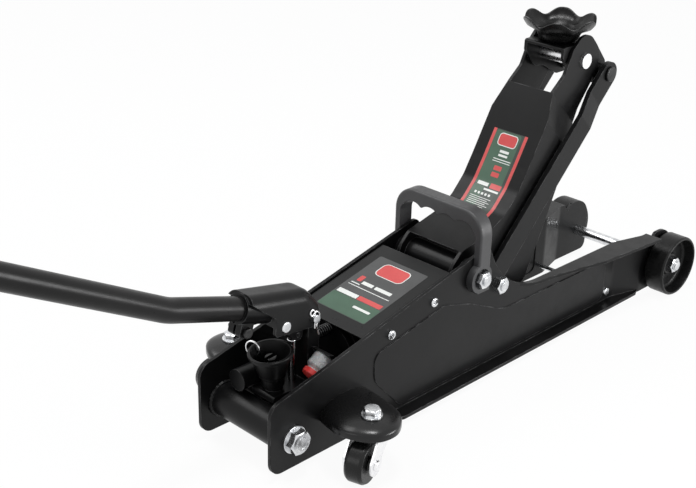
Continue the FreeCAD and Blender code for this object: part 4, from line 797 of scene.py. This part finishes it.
@dataclass
class CoverLabel:
    """Plain banded label on the sloping cover."""

    forge: Forge
    half: float = 36.0
    rear: float = 17.5
    front: float = 118.0

    def build(self) -> None:
        """Lay ground, bands and blocks."""
        low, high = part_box("cover_plate")
        film = Film(self.forge, "cover_plate", "chassis", "cover_paint",
                    Vector((low.x, 0.0, high.z)), Vector((1.0, 0.0, 0.0)), Vector((0.0, 1.0, 0.0)),
                    Vector((0.0, 0.0, 1.0)))
        film.lay("cover_label_ground", Finish.PRINT_GREY, [
            millimetres((self.rear, self.front), (-self.half, self.half), 2.0, 0)])
        film.lay("cover_label_green", Finish.PRINT_GREEN, [
            millimetres((self.rear + 0.6, 44.0), (0.6 - self.half, self.half - 0.6), 2.0)])
        film.lay("cover_label_red", Finish.PRINT_RED, [
            millimetres((89.5, 110.5), (-19.0, 19.0), 6.0, 2),
            millimetres((70.0, 80.0), (21.0, 27.5), 1.2),
            millimetres((44.8, 51.5), (-32.0, 2.5), 0.6, 1)])
        film.lay("cover_label_white", Finish.PRINT_WHITE, [
            millimetres((88.5, 111.5), (-20.2, 20.2), 7.0, 1),
            millimetres((68.0, 73.0), (2.0, 18.0), 0.8),
            millimetres((68.0, 73.0), (-25.0, -1.0), 0.8),
            millimetres((65.0, 66.4), (18.0, 30.5)),
            millimetres((61.2, 62.2), (-30.0, 31.0)),
            millimetres((44.8, 51.0), (3.5, 33.0), 0.6),
            millimetres((32.0, 35.5), (-28.5, -4.0), 0.6, 2)])


# ---------------------------------------------------------------- small hardware

@dataclass
class WireClips:
    """Spring clips of the pump's pin and the loop at the release cup."""

    forge: Forge
    wire: float = 0.0009
    drop: float = 0.0205
    rise: float = 0.0085
    inset: float = 0.0013
    loop_radius: float = 0.0078
    loop_steps: int = 40

    def hairpin(self, side: float) -> Shape:
        """Hairpin clip through one end of the yoke's pin.

        Args:
            side: -1 for the right end, 1 for the left.

        Returns:
            Corners and faces of the bent wire.
        """
        centre = pivot("yoke_pump")
        y = (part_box("yoke_cotters")[1].y - self.inset) * side
        points = [(0.0, -0.0115), (0.0, -0.004), (0.0, 0.004), (-0.0006, self.rise),
                  (-0.0035, self.rise + 0.0022), (-0.0062, self.rise + 0.0002),
                  (-0.0058, self.rise - 0.0036), (-0.0035, self.rise - 0.0042),
                  (0.0012, self.rise - 0.001), (0.0056, 0.0042), (0.0064, -0.0004),
                  (0.0046, -0.0048), (0.0026, -0.0082), (0.0034, -0.0128), (0.0058, -self.drop)]
        line = smooth_path([centre + Vector((x, y, z)) for x, z in points], 6)
        return sweep(line, lambda _: self.wire, 10)

    def loop(self) -> Shape:
        """Wire ring through the rim of the release cup."""
        low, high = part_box("release_cup")
        centre = Vector(((low.x + high.x) / 2 - 0.004, high.y - 0.0008, high.z - 0.0075))
        out = Vector((-0.35, 1.0, 0.15)).normalized()
        line = [centre + self.loop_radius * (math.cos(turn) * out + math.sin(turn) * Vector((0.1, 0.0, 1.0)))
                for turn in full_turn(self.loop_steps)]
        return sweep(line, lambda _: self.wire, 8, True)

    def build(self) -> None:
        """Bend the clips and set them in place."""
        clips = self.forge.make("yoke_hairpins", joined([self.hairpin(-1.0), self.hairpin(1.0)]),
                                Finish.BRIGHT, "yoke", "zinc_plate")
        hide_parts("yoke_cotters")
        self.forge.make("cup_wire_loop", self.loop(), Finish.BRIGHT, "release", "zinc_plate")


@dataclass
class Fasteners:
    """Dark crosses of painted shade for the screw recesses, stamped rings and threads on the visible screws,
    bolts and studs.
    """

    forge: Forge
    pitch: float = 0.0016
    depth_share: float = 0.36
    turn_steps: int = 28
    fade_steps: int = 10
    least_share: float = 0.05
    ring_radius: float = 0.0068
    cross_reach: float = 0.0029
    cross_share: float = 0.34
    cross_height: float = 0.00012
    screw_inset: tuple[float, float, float] = (0.003, 0.0, 0.0045)
    outside: float = 0.1
    above: float = 0.012
    probe_share: float = 0.6
    bare_tip: float = 0.0007
    studs: tuple[tuple[str, float], ...] = (
        ("arm_pivot_shaft", 0.0022), ("link_pivot_studs", 0.0018), ("front_axle", 0.003))

    def ring(self, centre: Vector, outward: Vector) -> Shape:
        """Raised ring on a bolt's head.

        Args:
            centre: middle of the head's face.
            outward: direction that the head faces.

        Returns:
            Corners and faces.
        """
        section = ((-0.0005, -0.0002), (0.0005, -0.0002), (0.0004, 0.00022), (0.0, 0.00034),
                   (-0.0004, 0.00022))
        return lathe([(self.ring_radius + off, level) for off, level in section], centre, outward, 36)

    def cross(self, centre: Vector, outward: Vector) -> Shape:
        """Dark cross that marks the recess in a screw's head: painted shade standing in for the hollow.

        Args:
            centre: middle of the head.
            outward: direction that the head faces.

        Returns:
            Corners and faces.
        """
        side = outward.orthogonal().normalized()
        other = outward.cross(side)
        reach = self.cross_reach
        half = reach * self.cross_share
        outline = [(reach, -half), (reach, half), (half, half), (half, reach), (-half, reach),
                   (-half, half), (-reach, half), (-reach, -half), (-half, -half), (-half, -reach),
                   (half, -reach), (half, -half)]
        corners = [centre + side * a + other * b + outward * lift
                   for lift in (0.0, self.cross_height) for a, b in outline]
        count = len(outline)
        faces: list[tuple[int, ...]] = []
        for a, b, c, d in ((0, 1, 2, 11), (2, 3, 4, 5), (5, 6, 7, 8), (8, 9, 10, 11), (2, 5, 8, 11)):
            faces.append((count + a, count + b, count + c, count + d))
            faces.append((d, c, b, a))
        faces += [(index, (index + 1) % count, count + (index + 1) % count, count + index)
                  for index in range(count)]
        return corners, faces

    def thread(self, start: Vector, outward: Vector, length: float, radius: float) -> Shape:
        """Helical ridge round the end of a stud.

        Args:
            start: point on the stud's axis where the thread begins.
            outward: direction of the stud.
            length: length of the thread.
            radius: radius of the stud.

        Returns:
            Corners and faces.
        """
        side = outward.orthogonal().normalized()
        other = outward.cross(side)
        turns = length / self.pitch
        count = round(turns * self.turn_steps)
        line = []
        for index in range(count + 1):
            share = index / count
            turn = 2 * math.pi * turns * share
            line.append(start + outward * length * share
                        + radius * (math.cos(turn) * side + math.sin(turn) * other))

        def height(index: int) -> float:
            """Radius of the ridge, which fades at both ends."""
            fade = min(index, count - index) / self.fade_steps + self.least_share
            return self.pitch * self.depth_share * min(1.0, fade)

        return sweep(line, height, 6)

    @staticmethod
    def end(node: str, side: float) -> Vector:
        """Middle of a node's outer face on one side."""
        spot = middle(node)
        spot.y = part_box(node)[1 if side > 0 else 0].y
        return spot

    def build(self) -> None:
        """Add the details to both sides."""
        rings, recess_shades, threads = [], [], []
        for side in (-1.0, 1.0):
            out = Vector((0.0, side, 0.0))
            rings.append(self.ring(self.end("rear_tube_bolts", side), out))
            for node, back in self.studs:
                tip = self.end(node, side)
                start = tip - out * back * self.probe_share + Vector((0.0, 0.0, self.above))
                hit, point, _, _ = frame["nodes"][node].ray_cast(start, Vector((0.0, 0.0, -1.0)))
                if hit:
                    threads.append(self.thread(tip - out * back, out, back - self.bare_tip,
                                               point.z - tip.z))
        low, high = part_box("cover_screws")
        inset = Vector(self.screw_inset)
        for spot in (low + inset, high - inset):
            for side in (-1.0, 1.0):
                out = Vector((0.0, side, 0.0))
                start = Vector((spot.x, self.outside * side, spot.z))
                hit, point, _, _ = frame["nodes"]["cover_screws"].ray_cast(start, -out)
                if hit:
                    recess_shades.append(self.cross(point, out))
        self.forge.make("bolt_head_rings", joined(rings), Finish.ZINC, "chassis", "zinc_plate")
        self.forge.make("stud_threads", joined(threads), Finish.ZINC, "chassis", "zinc_plate")
        # dark crosses on the screw heads: painted shade of the recesses
        self.forge.make("screw_recess_shade", joined(recess_shades), Finish.BLACKED, "chassis", "zinc_plate")


@dataclass
class SaddleDish:
    """Cast dish with a wavy rim, fluted wall, raised ring and stem, in place of its plain solid."""

    forge: Forge
    height: float = 0.029
    lobes: int = 6
    first_lobe: float = 31.0
    dip: float = 0.0082
    flute: float = 0.0024
    waist: float = 0.0085
    wave_radius: float = 0.029
    wave_power: float = 1.4
    stem: float = 0.0099
    chamfer: float = 0.0009
    steps: int = 144
    outer: tuple[tuple[float, float], ...] = (
        (0.0100, 0.0), (0.0185, 0.0003), (0.0200, 0.0009), (0.0222, 0.0020), (0.0236, 0.0040),
        (0.0252, 0.0075), (0.0264, 0.0100), (0.0288, 0.0122), (0.0335, 0.0150), (0.0380, 0.0184),
        (0.0412, 0.0235),
        (0.0433, 0.0272), (0.0439, 0.0284), (0.0431, 0.0290))
    inner: tuple[tuple[float, float], ...] = (
        (0.0405, 0.0286), (0.0390, 0.0262), (0.0362, 0.0212), (0.0310, 0.0168), (0.0256, 0.0135),
        (0.0234, 0.0108), (0.0222, 0.0078), (0.0212, 0.0064), (0.0200, 0.0060), (0.0142, 0.0060),
        (0.0132, 0.0066),
        (0.0120, 0.0073), (0.0104, 0.0073), (0.0094, 0.0066), (0.0086, 0.0060), (0.0, 0.0060))

    def corner(self, base: Vector, radius: float, level: float, turn: float) -> Vector:
        """Place of one profile point at one turn about the axis.

        Args:
            base: point on the axis at the dish's seat.
            radius: distance from the axis before the wave.
            level: height above the seat before the wave.
            turn: angle about the axis in radians.

        Returns:
            The waved point.
        """
        share = min(max((level - self.waist) / (self.height - self.waist), 0.0), 1.0)
        if radius < self.wave_radius:
            share = 0.0
        phase = self.lobes * (turn - math.radians(self.first_lobe))
        wave = ((1.0 - math.cos(phase)) / 2) ** self.wave_power
        reach = radius - self.flute * share * wave
        return base + Vector((reach * math.cos(turn), reach * math.sin(turn),
                              level - self.dip * share * wave))

    def build(self) -> None:
        """Cast the dish and let it stand for the plain one."""
        low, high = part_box("saddle")
        base = Vector(((low.x + high.x) / 2, (low.y + high.y) / 2, high.z - self.height))
        foot = low.z - base.z
        stem = ((0.0, foot), (self.stem - self.chamfer, foot), (self.stem, foot + self.chamfer))
        profile = stem + self.outer + self.inner
        corners = [self.corner(base, radius, level, turn)
                   for turn in full_turn(self.steps) for radius, level in profile]
        faces = net(self.steps, len(profile), loop=True)
        dish = self.forge.make("saddle_dish", (corners, faces), Finish.DISH, "saddle", "cast_black")
        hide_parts("saddle")


@dataclass
class CasterHoods:
    """Smooth pressed hoods over the casters, in place of their plain brackets."""

    forge: Forge
    outline: tuple[tuple[float, float, float], ...] = (
        (50.0, 51.6, 48.0), (44.5, 27.0, 53.5), (38.0, 5.0, 56.5), (29.0, -14.5, 57.5),
        (8.0, -28.0, 57.5), (-15.0, -25.0, 57.5), (-29.5, -8.0, 57.5), (-34.5, 12.0, 56.5),
        (-30.0, 33.0, 54.0), (-22.0, 51.6, 50.0))
    ridge: tuple[float, float] = (13.0, 51.6)
    lip: float = 5.0
    wall: float = 2.4
    rings: int = 16
    track: float = 0.108
    smoothing: int = 9
    end_share: float = 0.3
    sag: float = 0.4
    drop_power: float = 1.1

    def skin(self, centre: Vector, side: float, inset: float) -> tuple[list[list[Vector]], int]:
        """Rows of points from the ridge over the shoulder and down the lip.

        Args:
            centre: top of the hood on the king bolt's axis.
            side: -1 for the right hood, 1 for the left.
            inset: how far the skin lies inside the outer one, in millimetres.

        Returns:
            One row of points for each place along the outline, and the points in a row.
        """
        edge = smooth_path([Vector(point) for point in self.outline], self.smoothing)
        rows = []
        for index, rim in enumerate(edge):
            share = index / (len(edge) - 1)
            near = max(0.0, 1.0 - min(share, 1.0 - share) / self.end_share)
            spine = Vector((self.ridge[0] * near, self.ridge[1] * near,
                            centre.z * 1000 - self.sag * near))
            flat = Vector((rim.x - spine.x, rim.y - spine.y, 0.0))
            reach = flat.length - inset * (0.0 if rim.y > self.ridge[1] - 0.1 else 1.0)
            flat.normalize()
            row = []
            for ring in range(self.rings + 1):
                turn = math.pi / 2 * ring / self.rings
                drop = (1.0 - math.cos(turn)) ** self.drop_power
                spot = spine + flat * reach * math.sin(turn)
                row.append((spot.x, spot.y, spine.z - inset - (spine.z - rim.z) * drop))
            tail = spine + flat * reach
            floor = rim.z - self.lip
            row += [(tail.x, tail.y, floor + (rim.z - inset - floor) * (1.0 - step / 2)) for step in (1, 2)]
            rows.append([Vector((centre.x + x / 1000, centre.y - side * y / 1000, z / 1000))
                         for x, y, z in row])
        return rows, self.rings + 3

    def hood(self, centre: Vector, side: float) -> Shape:
        """Closed skin of one hood."""
        outer, width = self.skin(centre, side, 0.0)
        inner, _ = self.skin(centre, side, self.wall)
        corners = [point for rows in (outer, inner) for row in rows for point in row]
        count, base = len(outer), len(outer) * width
        faces = two_skins(count, width)
        for a in range(width - 1, base - width, width):
            faces.append((a, a + width, base + a + width, base + a))
        for row in (0, count - 1):
            for column in range(width - 1):
                a = row * width + column
                faces.append((a, a + 1, base + a + 1, base + a))
        return corners, faces

    def build(self) -> None:
        """Press both hoods and let them stand for the plain brackets."""
        for name, side in (("right", -1.0), ("left", 1.0)):
            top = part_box(f"caster_bracket_{name}")[1].z
            centre = Vector((middle("caster_bolts").x, side * self.track, top))
            hood = self.forge.make(f"caster_hood_{name}", self.hood(centre, side), Finish.HOOD,
                                   "chassis", "black_paint")
            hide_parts(f"caster_bracket_{name}")


@dataclass
class Welds:
    """Rippled weld beads where the rear tube meets the plates."""

    forge: Forge
    bead: float = 0.0024
    inset: float = 0.0012
    steps: int = 90

    def ripple(self, index: int) -> float:
        """Radius of the bead at one step."""
        return self.bead * (1.0 + 0.13 * math.sin(index * 1.9) + 0.06 * math.sin(index * 0.53 + 1.0))

    def build(self) -> None:
        """Lay the beads on both sides."""
        shapes = []
        low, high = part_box("rear_cross_tube")
        centre, radius = (low + high) / 2, (high.z - low.z) / 2
        for face in (low.y + self.inset, high.y - self.inset):
            line = [Vector((centre.x + radius * math.cos(turn), face, centre.z + radius * math.sin(turn)))
                    for turn in full_turn(self.steps)]
            shapes.append(sweep(line, self.ripple, 8, True))
        self.forge.make("weld_beads", joined(shapes), Finish.ENAMEL, "chassis", "black_paint")


@dataclass
class GripRibs:
    """Raised ribs round the rubber grip at the end of the handle."""

    forge: Forge
    count: int = 22
    pitch: float = 0.0042
    reach: float = 0.00055
    shoulder_share: float = 0.7
    sink: float = 0.0004
    half: float = 0.0011
    shoulder: float = 0.0009
    outside: float = 0.05

    def build(self) -> None:
        """Set the ribs along the grip's axis."""
        tube_low, tube_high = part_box("handle_tube_upper")
        bend = Vector((tube_high.x, 0.0, tube_low.z))
        far = Vector((tube_low.x, 0.0, tube_high.z))
        along = (far - bend).normalized()
        up = Vector((along.z, 0.0, -along.x))
        node = frame["nodes"]["handle_grip"]
        shapes = []
        for index in range(self.count):
            spot = middle("handle_grip") + along * (index - (self.count - 1) / 2) * self.pitch
            spot.y = 0.0
            hit, point, _, _ = node.ray_cast(spot + up * self.outside, -up)
            hit_low, point_low, _, _ = node.ray_cast(spot - up * self.outside, up)
            if not (hit and hit_low):
                continue
            core, radius = (point + point_low) / 2, (point - point_low).length / 2
            base, side = radius - self.sink, radius + self.reach * self.shoulder_share
            shapes.append(lathe([(base, -self.half), (side, -self.shoulder), (radius + self.reach, 0.0),
                                 (side, self.shoulder), (base, self.half)], core, along, 48))
        self.forge.make("grip_ribs", joined(shapes), Finish.RUBBER, "handle", "grip_rubber")


# ---------------------------------------------------------------- studio

@dataclass
class Studio:
    """Plain pale floor, soft lamps and the viewpoint."""

    lens: float = 65.249224
    film_width: float = 36.0
    azimuth: float = 44.4189
    dip: float = 24.2395
    roll: float = 1.482
    from_axle: tuple[float, float, float] = (-1.38436, -0.84424, 0.74016)
    aim: tuple[float, float, float] = (0.35, 0.0, 0.12)
    floor_size: float = 60.0
    floor_gap: float = 0.0004
    floor_share: float = 0.94
    paper: Colour = (0.9, 0.9, 0.9)
    paper_roughness: float = 0.9
    sky: Colour = (0.92, 0.94, 0.97)
    sky_strength: float = 0.4
    lamps: list[tuple[str, Vector, float, float]] = field(default_factory=lambda: [
        ("key", Vector((0.25, -0.15, 2.4)), 0.5, 24.0),
        ("side", Vector((1.3, -1.7, 0.4)), 0.8, 26.0),
        ("fill", Vector((-0.3, 1.4, 2.1)), 1.3, 20.0),
        ("rear", Vector((-2.4, 0.2, 1.2)), 1.2, 7.0)])

    @staticmethod
    def seen(tree: bpy.types.NodeTree) -> Socket:
        """Value that is 1 for rays that see the backdrop itself, mirrored or through glass too.

        Args:
            tree: node tree to add the nodes to.

        Returns:
            The value's socket.
        """
        path = tree.nodes.new("ShaderNodeLightPath")
        total = path.outputs["Is Camera Ray"]
        for kind in ("Is Glossy Ray", "Is Transmission Ray"):
            node = tree.nodes.new("ShaderNodeMath")
            node.operation = "MAXIMUM"
            tree.links.new(total, node.inputs[0])
            tree.links.new(path.outputs[kind], node.inputs[1])
            total = node.outputs[0]
        return total

    @staticmethod
    def mix(tree: bpy.types.NodeTree, share: Socket, plain: Socket,
            white: Socket, target: Socket) -> None:
        """Show the plain shader where the share is 0 and the white one where it is 1.

        Args:
            tree: node tree that holds them.
            share: how much of the white shader shows.
            plain: output of the plain shader.
            white: output of the white shader.
            target: socket that takes the mixed shader.
        """
        node = tree.nodes.new("ShaderNodeMixShader")
        for source, socket in zip((share, plain, white), node.inputs):
            tree.links.new(source, socket)
        tree.links.new(node.outputs[0], target)

    def floor(self) -> None:
        """Lay the paper floor, white where the camera sees it and shaded by the jack."""
        bpy.ops.mesh.primitive_plane_add(size=self.floor_size, location=(0.0, 0.0, -self.floor_gap))
        plane = bpy.context.object
        plane.name = "floor"
        graph = NodeGraph("floor_paper")
        graph.shader.inputs["Base Color"].default_value = (*self.paper, 1.0)
        fill(graph.shader, Roughness=self.paper_roughness)
        glow = graph.add("Emission")
        glow.inputs["Color"].default_value = (1.0, 1.0, 1.0, 1.0)
        share = graph.add("Math")
        share.operation = "MULTIPLY"
        share.inputs[1].default_value = self.floor_share
        graph.join(self.seen(graph.tree), share.inputs[0])
        self.mix(graph.tree, share.outputs[0], graph.shader.outputs["BSDF"], glow.outputs["Emission"],
                 graph.output.inputs["Surface"])
        plane.data.materials.append(graph.material)

    def world(self) -> None:
        """Light the world softly, with white behind the jack."""
        world = bpy.data.worlds.new("studio")
        bpy.context.scene.world = world
        world.use_nodes = True
        tree = world.node_tree
        sky = tree.nodes["Background"]
        sky.inputs["Color"].default_value = (*self.sky, 1.0)
        sky.inputs["Strength"].default_value = self.sky_strength
        white = tree.nodes.new("ShaderNodeBackground")
        white.inputs["Color"].default_value = (1.0, 1.0, 1.0, 1.0)
        white.inputs["Strength"].default_value = 1.0
        self.mix(tree, self.seen(tree), sky.outputs[0], white.outputs[0],
                 tree.nodes["World Output"].inputs["Surface"])

    def lights(self) -> None:
        """Hang the soft lamps, each aimed at the jack."""
        for name, place, span, power in self.lamps:
            data = bpy.data.lights.new(name, "AREA")
            data.size = span
            data.energy = power
            lamp = bpy.data.objects.new(name, data)
            lamp.location = place
            lamp.rotation_euler = (Vector(self.aim) - place).to_track_quat("-Z", "Y").to_euler()
            bpy.context.scene.collection.objects.link(lamp)

    def camera(self) -> None:
        """Stand the camera at the viewing angle, placed from the front axle."""
        axle = middle("front_wheel_right").x
        a, e, r = (math.radians(v) for v in (self.azimuth, self.dip, self.roll))
        view = Vector((math.cos(e) * math.cos(a), math.cos(e) * math.sin(a), -math.sin(e)))
        right = Vector((math.sin(a), -math.cos(a), 0.0))
        up = right.cross(view)
        right, up = (right * math.cos(r) + up * math.sin(r), up * math.cos(r) - right * math.sin(r))
        data = bpy.data.cameras.new("camera")
        data.sensor_width = self.film_width
        data.lens = self.lens
        data.clip_end = self.floor_size
        body = bpy.data.objects.new("camera", data)
        place = Vector(self.from_axle) + Vector((axle, 0.0, 0.0))
        body.matrix_world = Matrix.Translation(place) @ Matrix((right, up, -view)).transposed().to_4x4()
        bpy.context.scene.collection.objects.link(body)
        bpy.context.scene.camera = body

    def build(self) -> None:
        """Set up the whole studio."""
        self.floor()
        self.world()
        self.lights()
        self.camera()
        bpy.context.scene.view_settings.view_transform = "Standard"


def main() -> None:
    """Build the jack's looks and its studio."""
    logging.basicConfig(level=logging.INFO, format="%(message)s")
    Studio().build()
    wardrobe = Wardrobe()
    wardrobe.dress_frame()
    forge = Forge(wardrobe)
    for work in (ArmLabel(forge), CoverLabel(forge), WireClips(forge), Fasteners(forge), SaddleDish(forge),
                 CasterHoods(forge), Welds(forge), GripRibs(forge)):
        work.build()
        log.info("%s done", type(work).__name__)


if __name__ == "__main__":
    main()
